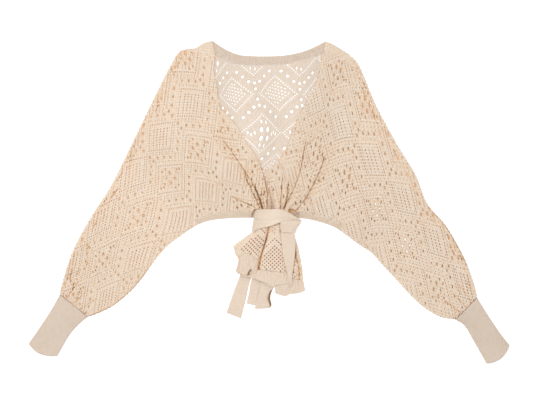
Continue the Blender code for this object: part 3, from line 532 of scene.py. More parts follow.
SLIT_ASTRAY = (1.2, 1.5)              # how far they stray along and across the row
CUFF_POINTS = 12                      # points along a cuff's seam
SLEEVE_RIGHT_OUTER = [(-174, 338), (-198, 331), (-218, 299), (-250, 236), (-300, 133), (-348, 36),
                      (-394, -36), (-432, -107), (-454, -173), (-461, -203.8)]
SLEEVE_RIGHT_LOWER = [(-159, -50), (-176, -61), (-196, -75), (-225, -97), (-252, -129), (-276, -162),
                      (-305, -196), (-341, -226), (-374, -243), (-399.8, -252.8)]
SLEEVE_LEFT_OUTER = [(173, 327), (193, 308), (207, 280), (237, 209), (281, 128), (322, 60), (348, -4),
                     (390, -54), (429, -123), (450, -178), (458, -210.8)]
SLEEVE_LEFT_LOWER = [(158, -64), (178, -79), (202, -96), (226, -112), (246, -135), (270, -160),
                     (290, -182), (312, -206), (341, -232), (376, -252), (411, -258.8)]
RIGHT_LACE = [
    (0, 0, -172, 220), (1, 0, -240, 143), (2, 0, -300, 64), (3, 0, -372, -39), (4, 0, -438, -134),
    (0, 1, -77, 66), (1, 1, -139, 27), (2, 1, -198, -39), (3, 1, -289, -121), (4, 1, -359, -209),
]
LEFT_LACE = [
    (0, 0, 156, 176), (1, 0, 226, 93), (2, 0, 297, 9), (3, 0, 365, -83), (4, 0, 433, -180),
    (0, 1, 116, -11), (1, 1, 182, -63), (2, 1, 239, -118), (3, 1, 308, -206), (-1, 0, 99, 227),
]
CREASES = [
    # points, width at the start, width at the tie, depth
    ([(-115, 154), (-99, 128), (-77, 101), (-55, 66), (-33, 36), (-19, 9), (-12, -16)], 5, 5, 0.95),
    (V_EDGE_RIGHT[6:], 9, 5, 1.0),
    (V_EDGE_LEFT[5:], 9, 5, 1.0),
    ([(77, 148), (74, 125), (69, 88), (63, 64), (56, 35), (42, 5), (27, -16)], 6, 5, 0.95),
    ([(140, 125), (125, 99), (118, 80), (106, 55), (94, 28), (76, 3), (48, -14)], 6, 6, 0.95),
]
LAPS = [
    # points, side that lies on top (1 for right), height
    ([(-118, 170), (-108, 146), (-91, 122), (-73, 98), (-55, 70), (-35, 38), (-21, 10), (-13, -16)], 1, 3.6),
    ([(-19, 104), (-17, 76), (-9, 48), (-4, 20), (-5, -16)], -1, 3.0),
    ([(92, 158), (83, 145), (77, 118), (71, 80), (63, 52), (50, 20), (30, -16)], -1, 3.6),
    ([(138, 122), (124, 104), (112, 70), (98, 40), (84, 14), (68, -8), (58, -20)], -1, 4.0),
    ([(-58, 78), (-46, 40), (-30, 8), (-20, -16)], 1, 1.6),
    ([(30, 70), (28, 36), (24, -16)], 1, 1.8),
    ([(-34, 48), (-25, 16), (-16, -14)], 1, 1.2),
    ([(44, 62), (41, 22), (34, -15)], -1, 1.5),
    ([(-92, 16), (-60, 2), (-30, -12)], 1, 1.0),
]
SOFT_FOLDS = [
    # points, width, height: long folds of the upper halves, then the gathers at the cuffs
    ([(-172, 62), (-212, 12), (-262, -60), (-302, -118)], 9, 1.6),
    ([(-236, 184), (-270, 116), (-322, 34)], 8, -1.1),
    ([(-326, -58), (-370, -126), (-404, -196)], 8, 1.5),
    ([(-452, -208), (-428, -160)], 4, 1.6), ([(-440, -217), (-402, -176)], 4, 1.5),
    ([(-424, -231), (-384, -199)], 4, 1.7), ([(-411, -243), (-366, -219)], 4, 1.3),
    ([(168, 52), (216, -22), (260, -84), (304, -138)], 9, 1.5),
    ([(244, 152), (292, 82), (326, 12)], 8, -1.2),
    ([(332, -58), (376, -122), (412, -196)], 8, 1.4),
    ([(449, -215), (428, -170)], 4, 1.5), ([(438, -226), (404, -186)], 4, 1.7),
    ([(427, -237), (392, -204)], 4, 1.4), ([(415, -250), (374, -226)], 4, 1.5),
]
GATHERS = [               # painted shade along the furrows between those gathers, which end at the cuffs
    [(-416, -168), (-446, -212)], [(-393, -188), (-432, -224)], [(-376, -209), (-418, -237)],
    [(416, -177), (444, -220)], [(398, -194), (433, -231)], [(383, -214), (421, -243)],
]
UNDER_FOLDS = [
    # the same for the under halves, which lie on the surface
    ([(-180, 90), (-228, 4), (-286, -84)], 9, 0.7), ([(-262, 120), (-318, 22), (-352, -60)], 8, 0.6),
    ([(-448, -206), (-420, -152)], 4, 0.7), ([(-418, -236), (-376, -206)], 4, 0.6),
    ([(182, 74), (232, -14), (288, -102)], 9, 0.7), ([(266, 110), (314, 30), (360, -58)], 8, 0.6),
    ([(446, -212), (420, -164)], 4, 0.6), ([(420, -244), (380, -214)], 4, 0.7),
]
WRAP_MOUTH = [(-22, -16), (44, -16)]
BARE = [                  # paths along the tie and the shoulders, with the reach without eyelets
    (WRAP_MOUTH, 14), ([(-152, 343), (-112, 336)], 13), ([(118, 347), (150, 333), (185, 308)], 9),
]
SILHOUETTE = [SHOULDER_RIGHT, SHOULDER_LEFT, HEM[:4], HEM[5:], SLEEVE_RIGHT_OUTER, SLEEVE_RIGHT_LOWER,
              SLEEVE_LEFT_OUTER, SLEEVE_LEFT_LOWER]


def upper_underside(points):
    """Height of the upper layer's underside: a puff of 1 - exp(-distance from the edge), a lift into the
    tie, and pleats that fade with exp(-distance from the tie), cut by gaussian valleys."""
    edge = np.min([nearest(path, points)[0] for path in SILHOUETTE], axis=0)
    v_edge = np.min([nearest(path, points)[0] for path in (V_EDGE_RIGHT, V_EDGE_LEFT)], axis=0)
    mouth = nearest(WRAP_MOUTH, points)[0]
    puff = PUFF * (1 - np.exp(-np.minimum(edge, v_edge) / PUFF_REACH))
    hem_fade = ease(nearest(HEM[:4], points)[0] / HEM_FADE) * ease(nearest(HEM[5:], points)[0] / HEM_FADE)
    lift = MOUTH_LIFT * ease(1 - mouth / MOUTH_REACH) * hem_fade
    pleat = PLEAT_HEIGHT * np.exp(-mouth / PLEAT_REACH) * hem_fade
    for path, start, end, depth in CREASES:
        gap, place, _ = nearest(path, points)
        width = start + (end - start) * place
        pleat = pleat * (1 - depth * bell(gap, width) * ease(place * 5 + 0.3))
    folds = soft_folds(SOFT_FOLDS, points) * ease(edge / EDGE_FADE)
    return UPPER_LEVEL + puff + lift + pleat + folded_over(points) + folds


def painted_slit_row(path, inset, pitch, points):
    """Depth of the painted shade of a row of slits at `inset` from a path, one each `pitch`: gaussians along
    and across it, moved and deepened by sines of their number, that fade to the path's ends with 16t(1 - t)."""
    gap, place, _ = nearest(path, points)
    length = np.linalg.norm(np.diff(path, axis=0), axis=1).sum()
    step = place * length / pitch
    number = np.floor(step)
    offset = (step - number - 0.5) * pitch + SLIT_ASTRAY[0] * np.sin(2.1 * number)
    across = gap - inset - SLIT_ASTRAY[1] * np.sin(1.3 * number)
    depth = SLIT_DEPTH + SLIT_VARIES * np.sin(0.9 * number + 0.5)
    slit = depth * bell(offset, SLIT_LENGTH * pitch) * bell(across, SLIT_WIDTH)
    return slit * ease(16 * place * (1 - place))


def steepness(underside, points):
    """How much more a sloping wall measures straight up: sqrt(1 + slope^2), at most STEEPEST."""
    across = underside(points + [0.5, 0]) - underside(points - [0.5, 0])
    down = underside(points + [0, 0.5]) - underside(points - [0, 0.5])
    return np.minimum(np.sqrt(1 + across ** 2 + down ** 2), STEEPEST)


def soft_folds(table, points):
    """Height of soft folds: gaussians across each path that fade to its ends with 5t(1 - t)."""
    height = np.zeros(len(points))
    for path, width, rise in table:
        gap, place, _ = nearest(path, points)
        height += rise * bell(gap, width) * ease(5 * place * (1 - place))
    return height


def folded_over(points):
    """Height where a pleat laps over its neighbour: it rises within LAP_SHARP beside the line of the crease
    and falls with exp(-distance / LAP_REACH), on that side only."""
    height = np.zeros(len(points))
    for path, way, rise in LAPS:
        line = np.array(path, float)
        gap, place, _ = nearest(line, points)
        side = way * (nearest(line - [1, 0], points)[0] - nearest(line + [1, 0], points)[0])
        share = ease(side * gap / LAP_SHARP) * np.exp(-gap / LAP_REACH)
        height += rise * share * ease(place * 4) * (side > 0)
    return height


SLEEVE_EYELETS = {     # closer set than on the back, where the cloth is stretched
    "dot": (0, 0, 0.68, 0.70, 0.05),
    "slit": (0, 0, 0.70, 0.70, 0.10),
    "pin": (0, 0, 0.60, 0.62, 0.20),
    "mesh": (0, 0, 0.88, 0.88, 0.12),
    "tall": (0, 1, 0.80, 1.60, 0.20),
    "round": (1, 1, 1.00, 1.50, 0.35),
    "long": (1, 2, 1.10, 2.20, 0.30),
}
SLEEVE_CHARTS = {
    "right": lace_grids(lace_marks(((3, 3), (2, -2)), pins=True), SLEEVE_EYELETS, -1),
    "left": lace_grids(lace_marks(((4, 4), (2, -2)), pins=True, sparse=True),
                       {**SLEEVE_EYELETS, "dot": (0, 0, 0.55, 0.55, 0.05), "slit": (0, 0, 0.80, 0.95, 0.35),
                        "pin": (0, 0, 0.52, 0.58, 0.20)}, -1),
}
SCALLOP = 0.7             # how far the folded edge swings out and in between its eyelets


def scalloped(table):
    """The curve through a table with each point but the ends moved across it, out and in by turns."""
    path = curve_through(table, 4.5)
    way = np.gradient(path, axis=0)
    across = np.column_stack([-way[:, 1], way[:, 0]]) / np.linalg.norm(way, axis=1)[:, None]
    swing = SCALLOP * np.where(np.arange(len(path)) % 2, 1, -1)
    swing[[0, -1]] = 0
    return path + across * swing[:, None]


outer_right, lower_right = scalloped(SLEEVE_RIGHT_OUTER), scalloped(SLEEVE_RIGHT_LOWER)
outer_left, lower_left = scalloped(SLEEVE_LEFT_OUTER), scalloped(SLEEVE_LEFT_LOWER)
front_right_outline = loop_of(
    curve_through(V_EDGE_RIGHT), [(4, MOUTH_Y), (-21, MOUTH_Y), (-22, -15), (-31.8, -15.2), (-36.9, -23.4)],
    hem_line(hem_top, high_x=HEM_AT_TIE[0])[::-1], lower_right,
    along([lower_right[-1], outer_right[-1]], CUFF_POINTS), outer_right[::-1], shoulder_right)
front_left_outline = loop_of(
    curve_through(V_EDGE_LEFT), [(10, MOUTH_Y), (42, MOUTH_Y), (43, -15), (54, -15.2), (62.2, -23.4)],
    hem_line(hem_top, low_x=HEM_AT_TIE[1]), lower_left,
    along([lower_left[-1], outer_left[-1]], CUFF_POINTS), outer_left[::-1], shoulder_left[::-1])
PAINTED_SHADE_LINES = [            # path, width, depth: painted shade in the creases beside the pleats, along parts of the folded edges, in gathers
    *[(path, 1.5, 1.6) for path, _, _ in LAPS],
    (outer_left[(outer_left[:, 1] < 16) & (outer_left[:, 1] > -140)], 3.0, 1.4),
    (lower_right[lower_right[:, 0] < -240], 3.0, 1.4),
    *[(path, 1.6, 1.2) for path in GATHERS],
]
SHADE_SLITS = [                 # path, inset, pitch: rows of painted shade slits beside the largest pleats and at the right cuff
    *[(path, inset, 8.5) for path, _, _ in LAPS[:4] for inset in (6.5, 13.0)],
    (outer_right[outer_right[:, 1] < -70], 25.0, 12.0),
    (outer_right[outer_right[:, 1] < -100], 38.0, 13.0),
]
for side, outline, table, folds, area in (
        ("right", front_right_outline, RIGHT_LACE, (outer_right, lower_right), 0.122),
        ("left", front_left_outline, LEFT_LACE, (outer_left, lower_left), 0.117)):
    piece = lace_panel(f"front_and_sleeve_{side}", outline, table, (-2.5, 5.5, -2, 3), upper_underside, LACE,
                       SLEEVE_CHARTS[side], folds=folds, seams=folds[1:], bare=BARE, shade_lines=PAINTED_SHADE_LINES,
                       pulled=folds[0], slits=[(folds[0], 6.5, 9.5), (folds[0], 14.0, 10.5), *SHADE_SLITS])
    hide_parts(f"front_{side}", f"sleeve_{side}_upper")

# Under halves of the sleeves: the same lace, flat on the surface, sewn to the back at the armholes. The
# repeat starts elsewhere than on the upper half, so the eyelets of both seldom meet.
UNDER_SHIFT = (0.31, 0.27)
SEEN_THROUGH = [(301, -99), (220, -19)]     # on the left sleeve, where the surface shows through both layers
OPENED = 2.6                                # reach of a spot that is cut through there
DIAMOND_REACH = 20                          # how far the middle of such a diamond is from there at most
UNDER_SIZE = 0.7                            # size of the eyelets


def long_eyelets(table, points):
    """Places of the long eyelets of each open diamond whose middle is within DIAMOND_REACH of the points:
    the layout of the diamond's column and row, plus the eyelet's stitches over those of the repeat."""
    place = layout(table)
    column, line = np.meshgrid(np.arange(-3, 7), np.arange(-3, 4), indexing="ij")
    cells = np.column_stack([column.ravel(), line.ravel()])
    middles = place(cells + [-(WALES // 2) / WALES, (ROWS // 2) / ROWS])
    near = np.min([np.hypot(*(middles - point).T) for point in points], axis=0) < DIAMOND_REACH
    return np.vstack([place(cells[near] + [-(WALES // 2 + x) / WALES, (ROWS // 2 + y) / ROWS])
                      for x, y in OPEN_DIAMOND["long"]])


def under_half(points):
    """Height of the under halves: the surface, with soft folds."""
    return soft_folds(UNDER_FOLDS, points)


for side, seam, folds, table, opened, area in (
        ("right", seam_right - [SEAM_GAP / 2, 0], (outer_right, lower_right), RIGHT_LACE, (), 0.079),
        ("left", seam_left + [SEAM_GAP / 2, 0], (outer_left, lower_left), LEFT_LACE,
         long_eyelets(LEFT_LACE, SEEN_THROUGH), 0.072)):
    outline = loop_of(seam, folds[1], along([folds[1][-1], folds[0][-1]], CUFF_POINTS), folds[0][::-1])
    shifted = [(c + UNDER_SHIFT[0], r + UNDER_SHIFT[1], x, y) for c, r, x, y in table]
    piece = lace_panel(f"sleeve_{side}_lower", outline, shifted, (-2.5, 6, -2, 3.5), under_half, LACE,
                       SLEEVE_CHARTS[side], size=UNDER_SIZE, folds=folds, under=True, opened=opened)
    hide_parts(f"sleeve_{side}_under")

# Neckband: a narrow strip of 1x1 rib in the same cotton, sewn to the back along its lower edge. Its ribs
# stand up on the outside and die out towards the shoulders.
NECK_TOP = [(-125, 355), (-96, 336), (-66, 324), (-30, 321), (5, 321), (36, 323), (74, 331),
            (99, 341), (124, 354)]
PLAIN_RATES = (1.3, 1.6)  # stitches of the plain knits to one of the grid, across and along
# Same cotton as the lace, darker as painted shade.
RIB = knit("rib_knit_yarn", (0.82, 0.68, 0.56), (0.76, 0.59, 0.45), *PLAIN_RATES)
RIB_PITCH = 6.2
RIB_HEIGHT = 0.9
RIB_FURROW_SHADE = 0.45           # painted shade: how much darker the furrows between ribs are
STITCH = 1.9              # width of a stitch of the plain bands
BAND_STEP = 1.3           # size of the grid's squares
BAND_LEAST = 0.45         # share of the thickness that is left at an edge
TURN_RISE = 0.5           # how much thicker a turned end is
# Depth of the painted shade along a crease line.
SHADE_LINE_DEPTH = 1.6


def band(name, edge_a, edge_b, underside, material, ribs=0.0, plain_end=10.0, hem=0.0, shade_lines=()):
    """A strip of cloth between two edges, its rims rounded. Ribs across it are cosines `ribs` high that
    die out over `plain_end` at both ends, with painted shade in the furrows between them; `hem` is the depth
    of a turned end, TURN_RISE thicker over its last stretch. `shade_lines` are (path, width) of painted
    shade."""
    length = np.linalg.norm(np.diff(np.array(edge_a, float), axis=0), axis=1).sum()
    count = 8 * int(round(length / RIB_PITCH)) + 1 if ribs else int(length / BAND_STEP) + 2
    a, b = along(edge_a, count), along(edge_b, count)
    width = np.linalg.norm(b - a, axis=1)
    across = int(width.max() / BAND_STEP) + 3
    t = np.linspace(0, 1, across)
    flat = (a[:, None] * (1 - t[None, :, None]) + b[:, None] * t[None, :, None]).reshape(-1, 2)
    s = np.linspace(0, length, count)
    to_end = np.minimum(s, length - s)
    to_edge = np.minimum(np.minimum(t, 1 - t)[None] * width[:, None], to_end[:, None])
    share = round_off(to_edge, EDGE_RADIUS, BAND_LEAST).ravel()
    raised = (0.5 - 0.5 * np.cos(2 * np.pi * s / RIB_PITCH)) * ease(to_end / plain_end - 0.8)
    turned = TURN_RISE * ease((hem - (length - s)) / 1.5 + 0.5) if hem else 0 * s
    low = underside(flat)
    high = low + (CLOTH * steepness(underside, flat) + np.repeat(ribs * raised + turned, across)) * share
    stitch = np.column_stack([np.repeat(s, across), (t[None] * width[:, None]).ravel()]) / STITCH
    tone = np.repeat(-RIB_FURROW_SHADE * (1 - raised), across) if ribs else np.zeros(len(flat))
    for path, shade_line_width in shade_lines:
        tone = tone - SHADE_LINE_DEPTH * bell(nearest(path, flat)[0], shade_line_width)
    squares, triangles = wall_faces(np.ones((count, across), bool))
    return wall(name, flat, low, high, squares, triangles, stitch, material, tone)


neckband = band("neck_rib", curve_through(NECK_TOP), curve_through(NECK_BOTTOM), on_surface, RIB,
                ribs=RIB_HEIGHT, plain_end=20.0)
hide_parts("neckband")

# Hem bands: narrow strips of plain knit, one on the back and one on each front. Those of the fronts end
# beside the tie, which gathers the rest.
# Same cotton as the lace, tanner as painted shade.
HEM_KNIT = knit("hem_knit_yarn", (0.86, 0.70, 0.55), (0.76, 0.57, 0.40), *PLAIN_RATES)
for name, node_name, ends, underside, flat in (
        ("back_hem", "back_hem_band", (None, None), on_surface, (0.32, 0.011)),
        ("front_hem_right", "front_hem_band_right", (None, HEM_AT_TIE[0]), upper_underside, (0.123, 0.011)),
        ("front_hem_left", "front_hem_band_left", (HEM_AT_TIE[1], None), upper_underside, (0.096, 0.011))):
    piece = band(name, hem_line(HEM_BAND, *ends), hem_line(0, *ends), underside, HEM_KNIT)
    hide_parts(node_name)

# Cuffs: long tubes of plain knit, sewn to the sleeves, pressed flat and open at the hand. Each hangs a
# little past its corners in the middle of its end.
CUFF_RIGHT = [            # outer x, y and inner x, y, from the seam to the hand
    (-461, -204, -400, -253), (-478, -235, -418, -268), (-502, -272, -439, -292), (-529, -311, -466, -338),
]
CUFF_LEFT = [
    (458, -211, 411, -259), (484, -253, 430, -272), (510, -291, 448, -302), (529, -315, 478, -355),
]
CUFF_HEIGHT = 7.0
CUFF_BOW = 11.0           # how far the middle of its end hangs past the corners


def shell(name, outer, inner, stitch, material):
    """An open tube from rings of outer and inner points, both shaped (rings, sides, 3)."""
    rings, sides = outer.shape[:2]
    number = np.arange(rings * sides).reshape(rings, sides)
    beside = np.roll(number, -1, axis=1)
    shift = rings * sides
    quads = np.stack([number[:-1], beside[:-1], beside[1:], number[1:]], axis=2).reshape(-1, 4)
    first = np.stack([beside[0], number[0], number[0] + shift, beside[0] + shift], axis=1)
    last = np.stack([number[-1], beside[-1], beside[-1] + shift, number[-1] + shift], axis=1)
    faces = np.vstack([quads, quads[:, ::-1] + shift, first, last])
    points = np.concatenate([outer.reshape(-1, 3), inner.reshape(-1, 3)])
    a, b, c, d = (outer.reshape(-1, 3)[quads[:, k]] for k in range(4))
    middle = outer.mean(axis=(0, 1))
    if (np.cross(c - a, d - b) * ((a + c) / 2 - middle)).sum() < 0:
        faces = faces[:, ::-1]
    mesh = bpy.data.meshes.new(name)
    mesh.from_pydata((points * MM).tolist(), [], faces.tolist())
    # The tube's inner surface gets the painted shade and glow of faces that look into the garment.
    return cloth_piece(name, mesh, stitch, np.zeros(shift), (0, 1), material)


def pressed(centre, across, half_width, low, high):
    """One ring of a tube pressed flat: two level stretches joined by half circles."""
    r = (high - low) / 2
    turn = np.linspace(-np.pi / 2, np.pi / 2, 9)
    level = np.linspace(-1, 1, 41)[1:-1] * (half_width - r)
    bend = half_width - r + np.cos(turn) * r
    side = np.ones(len(level))
    u = np.concatenate([bend, level[::-1], -bend, level])
    z = np.concatenate([np.sin(turn), side, -np.sin(turn), -side]) * r + (low + high) / 2
    return np.column_stack([centre[0] + u * across[0], centre[1] + u * across[1], z])


for side, sections, flat in (("right", CUFF_RIGHT, (0.152, 0.115)), ("left", CUFF_LEFT, (0.136, 0.118))):
    rows = curve_through(sections, 3.0)
    way = rows[-1] - rows[-2]
    way = (way[:2] + way[2:]) / np.linalg.norm(way[:2] + way[2:])
    outer, inner = [], []
    for k, (x0, y0, x1, y1) in enumerate(rows):
        centre = np.array([(x0 + x1) / 2, (y0 + y1) / 2])
        half = np.hypot(x1 - x0, y1 - y0) / 2
        across = np.array([x1 - x0, y1 - y0]) / (2 * half)
        bow = CUFF_BOW * (k / (len(rows) - 1)) ** 3
        for rings, inset in ((outer, 0.0), (inner, CLOTH)):
            ring = pressed(centre, across, half - inset, inset, CUFF_HEIGHT - inset)
            u = (ring[:, :2] - centre) @ across / half
            ring[:, :2] += np.outer(bow * (1 - u ** 2), way)
            rings.append(ring)
    outer, inner = np.array(outer), np.array(inner)
    count, sides = outer.shape[:2]
    round_u = np.arange(sides) / sides * flat[0] * 1000
    down_v = np.arange(count) / count * flat[1] * 1000
    stitch = np.column_stack([np.tile(round_u, count), np.repeat(down_v, sides)]) / STITCH
    piece = shell(f"cuff_knit_{side}", outer, inner, stitch, RIB)
    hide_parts(f"cuff_{side}")

# Tails: the lower corners of both fronts below the tie, in the same lace, folded double, in rolls that
# flatten towards the hem. The inner layer, its face all in the painted shade of an inner face, shows through
# the eyelets of the outer one. Lines of painted shade run along the valleys and beside the upper tie end.
TAIL_RIGHT = [(-27, -50), (-37, -66), (-50, -75), (-79, -96), (-75, -113), (-68, -124), (-60, -112.5),
              (-44, -115), (-24, -127), (-18, -115), (-10, -90), (-4, -66), (-2, -46)]
TAIL_LEFT = [(1, -46), (-1, -66), (-8, -90), (-16, -115), (-22, -142), (-20, -149), (5, -152),
             (34, -156), (48, -167), (75, -172), (72, -138), (67, -115), (63, -96), (57, -79), (46, -62),
             (40, -50)]
TAIL_RIGHT_INNER = [(-26, -54), (-46, -76), (-75, -96), (-72, -113), (-66, -132), (-44, -136), (-22, -140),
                    (-12, -115), (-6, -90), (-2, -54)]
TAIL_LEFT_INNER = [(-8, -49), (-9, -64), (-16, -96), (-30, -126), (-31, -153), (5, -160), (34, -164),
                   (47, -176), (73, -181), (70, -138), (65, -115), (61, -96), (54, -79), (38, -54)]
TAIL_FOLD = [(52, -70), (55, -90), (60, -125), (66, -147), (67, -191)]
TAIL_SPLIT = [(0, -57), (-2, -66), (-9, -90), (-17, -115), (-24, -152)]
TAIL_TOP = -58                        # y at which the tails leave the tie
TAIL_LIFT, TAIL_PLEAT = 8.0, 8.0
LIFT_REACH, PLEAT_FALL = 50, 160      # distances below the tie over which both of them fade
SPLIT_DEPTH, SPLIT_WIDTH = 0.75, 7    # the valley between the rolls
FOLD_DEPTH, FOLD_WIDTH = 0.8, 5       # the valley at the left tail's fold
SIDE_SHARE, SIDE_REACH = 0.25, 16     # share of a roll left at a side edge, and how far in it fades
INNER_TAIL_DROP, INNER_TAIL_LEAST = 6.0, 1.4
TIE_BED_TOP, TIE_BED_END = 15.0, 8.0  # height of the bed under the upper tie end, at its top and its end
TIE_BED_EDGE, TIE_BED_LOW = 3, -186   # distance over which the bed levels out, and y where it stops
TIE_TOP = [
    # left x, left y, right x, right y
    (25, -59, 52, -59), (27, -85, 58, -84), (30, -115, 57, -114), (37, -146, 53, -146), (46, -181, 49, -181),
]
TAIL_RIGHT_LACE = [(0, 0, -33, -98), (1, 0, 75, -76), (0, 1, -72, -305), (-1, 0, -141, -120)]
TAIL_LEFT_LACE = [(0, 0, 12, -122), (1, 0, 120, -122), (0, 1, 12, -310), (-1, 0, -94, -122)]
TAIL_NET = ((2, 2), (2, -2))
TAIL_EYELETS = {**SLEEVE_EYELETS, "mesh": (0, 0, 0.95, 0.95, 0.0), "slit": (0, 0, 0.9, 0.9, 0.1),
                "pin": (0, 0, 0.7, 0.7, 0.0)}
TAIL_SPAN = (-1.5, 1.5, -1.5, 1.5)
TAIL_CHART = lace_grids(lace_marks(TAIL_NET, pins=True), TAIL_EYELETS, -1)
PLAIN_CHART = lace_grids([], {}, 1)


def tie_bed(y):
    """Height of the tail's underside below the upper tie end."""
    return np.interp(-y, [59, 182], [TIE_BED_TOP, TIE_BED_END])


def tail_underside(points):
    """Height of the tails' underside: two rolls that flatten with exp(-distance below the tie), gaussian
    valleys between them, and a level bed under the upper tie end."""
    down = TAIL_TOP - points[:, 1]
    lift = TAIL_LIFT * ease(1 - down / LIFT_REACH)
    roll = TAIL_PLEAT * np.exp(-np.maximum(down, 0) / PLEAT_FALL)
    roll = roll * (1 - SPLIT_DEPTH * bell(nearest(TAIL_SPLIT, points)[0], SPLIT_WIDTH))
    roll = roll * (1 - FOLD_DEPTH * bell(nearest(TAIL_FOLD, points)[0], FOLD_WIDTH))
    edge = np.minimum(nearest(TAIL_RIGHT[1:6], points)[0], nearest(TAIL_LEFT[9:14], points)[0])
    roll = roll * (SIDE_SHARE + (1 - SIDE_SHARE) * ease(edge / SIDE_REACH))
    z = UPPER_LEVEL + lift + roll
    down_tie = [-row[1] for row in TIE_TOP]
    left = np.interp(-points[:, 1], down_tie, [row[0] for row in TIE_TOP])
    right = np.interp(-points[:, 1], down_tie, [row[2] for row in TIE_TOP])
    within = np.minimum(points[:, 0] - left, right - points[:, 0])
    below = ease((TIE_BED_EDGE + within) / TIE_BED_EDGE) * (points[:, 1] > TIE_BED_LOW)
    return z * (1 - below) + tie_bed(points[:, 1]) * below


def inner_tail_underside(points):
    """The inner layer runs under the outer one, never lower than the tie's ends that it lies on."""
    return np.maximum(tail_underside(points) - INNER_TAIL_DROP, INNER_TAIL_LEAST)


def evenly(outline, count=100):
    """The closed outline with `count` points evenly spaced along it."""
    return loop_of(along(np.vstack([outline, outline[:1]]), count))


strip_left = [(x, y) for x, y, _, _ in TIE_TOP]
strip_right = [(x, y) for _, _, x, y in TIE_TOP]
for side, outline, inner_outline, table, size, area, shade_lines, bare in (
        ("right", TAIL_RIGHT, TAIL_RIGHT_INNER, TAIL_RIGHT_LACE, (0.078, 0.08), 0.0040, [(TAIL_SPLIT, 2.6)],
         [(TAIL_RIGHT[1:6], 11)]),
        ("left", TAIL_LEFT, TAIL_LEFT_INNER, TAIL_LEFT_LACE, (0.099, 0.118), 0.0085,
         [(TAIL_SPLIT, 2.6), (TAIL_FOLD, 2.2), (strip_left, 1.6), (strip_right, 1.8)], [])):
    outer_layer = lace_panel(f"tail_lace_{side}", evenly(outline), table, TAIL_SPAN, tail_underside, LACE,
                             TAIL_CHART, shade_lines=[(*crease, SHADE_LINE_DEPTH) for crease in shade_lines], bare=bare)
    below = evenly(inner_outline)
    # The inner layer's face is painted all over in the inner shade, with a line of painted shade along the
    # split.
    inner_layer = lace_panel(f"tail_inner_{side}", below, table, TAIL_SPAN, inner_tail_underside, LACE,
                             PLAIN_CHART, cover=below, shade_lines=[(TAIL_SPLIT, 5.0, SHADE_LINE_DEPTH)])
    for piece in (outer_layer, inner_layer):
        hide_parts(f"tail_{side}")

# Ribbed hems of the tails, knitted on in a 1x1 rib. The corner of the right one curls inwards, so that a
# short strip of its inner face shows, darkened with painted shade.
# Same cotton as the lace, lighter as painted light.
TIE = knit("tie_knit_yarn", (0.95, 0.79, 0.64), (0.86, 0.66, 0.49), *PLAIN_RATES)
RIB_DROP = 1.7            # how far the left tail's hem lies under the tail, and the curl over it


def dropped_hem(points):
    """Height of the left tail's hem, that comes up to the tail's over 8 mm at its middle end."""
    return tail_underside(points) - RIB_DROP * ease((-20 - points[:, 0]) / 8)


def dropped_end(points):
    """Height of the hem's other end, under the tail."""
    return tail_underside(points) - RIB_DROP


def curled_up(points):
    """Height of the curl, on the hem."""
    return tail_underside(points) + RIB_DROP


TAIL_BANDS = [
    # piece, node, upper edge, lower edge, underside, flat size
    ("tail_rib_right", "hem_rib_right", [(-66.5, -124.5), (-60.5, -113), (-44, -115.4), (-24, -127.4)],
     [(-73, -150), (-70, -156.5), (-50, -160.5), (-27, -154)], tail_underside, (0.05, 0.035)),
    ("tail_rib_left", "hem_rib_left",
     [(-57, -157.5), (-30, -150.5), (-21, -149.4), (5, -152.4), (34, -156.4), (45, -165.5)],
     [(-61, -162.5), (-38.8, -167.2), (-11.5, -176.7), (6.3, -187.6), (16, -183.5), (44.5, -178)],
     dropped_hem, (0.105, 0.022)),
    ("tail_rib_end", "hem_rib_left_end", [(13, -184), (28, -179.4), (45.5, -175.4), (50, -168), (75, -172.4)],
     [(13, -200), (26, -204.5), (37.6, -206.8), (43.1, -202.6), (64.9, -199.8), (79, -194)],
     dropped_end, (0.075, 0.023)),
]
CURL_INNER = [(-47, -158.6), (-45.5, -152), (-40, -146.8)]
CURL_OUTER = [(-50, -161), (-43.5, -160.5), (-37.5, -152)]
for name, node_name, upper, lower, underside, size in TAIL_BANDS:
    piece = band(name, curve_through(upper), curve_through(lower), underside, TIE, ribs=RIB_HEIGHT,
                 plain_end=5.0)
    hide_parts(node_name)
# The curl is darkened with painted shade along its inner edge.
curl = band("tail_curl_right", curve_through(CURL_INNER), curve_through(CURL_OUTER), curled_up, TIE,
            shade_lines=[(CURL_INNER, 6.0)])
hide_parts("hem_rib_right")

# Tie wrap: the middle of the tie, a strip of plain knit wound round the gathered fronts, and the turn that
# comes over it at the wearer's left, the knot, from which the upper end hangs.
WRAP = [
    # share of the way down, left end x, right end x
    (0.0, -30, 64), (0.15, -32, 69), (0.5, -35, 70.5), (0.75, -37.5, 69), (0.9, -37.5, 66), (1.0, -35, 62),
]
WRAP_UPPER = [(-40, -17), (-30, -16), (0, -15.5), (24, -16), (36, -19.5), (46, -24), (57, -31), (72, -39)]
WRAP_LOWER = [(-40, -70), (-35, -68), (-29, -62), (-18, -57), (-7, -55.5), (7, -51.5), (24, -45.5),
              (40, -46), (72, -47)]
WRAP_RINGS, WRAP_SIDES = 34, 160
WRAP_STITCHES = (1.25, 1.5)           # spacing of the grid round the wrap and down it, on the flat strip
WRAP_TOP, WRAP_WALL = 26.0, 2.4
WRAP_ROUND, WRAP_EDGE = 3.4, 2.0      # power of its superellipse, and radius of its upper and lower edges
WRAP_FURROWS = [
    # path, depth, half width: the folds along the wrap, the last ones behind the knot
    ([(-34, -37), (-16, -40), (0, -40.5), (14, -39)], 1.5, 1.6),
    ([(-30, -24), (4, -23), (38, -31)], 0.5, 1.4), ([(-36, -52), (-24, -48), (-10, -47)], 0.6, 1.5),
    ([(18, -33), (44, -36), (66, -41)], 0.7, 2.0),
]
KNOT_LEFT = [(26, -42.5), (24, -48), (24.5, -57), (27.5, -66)]
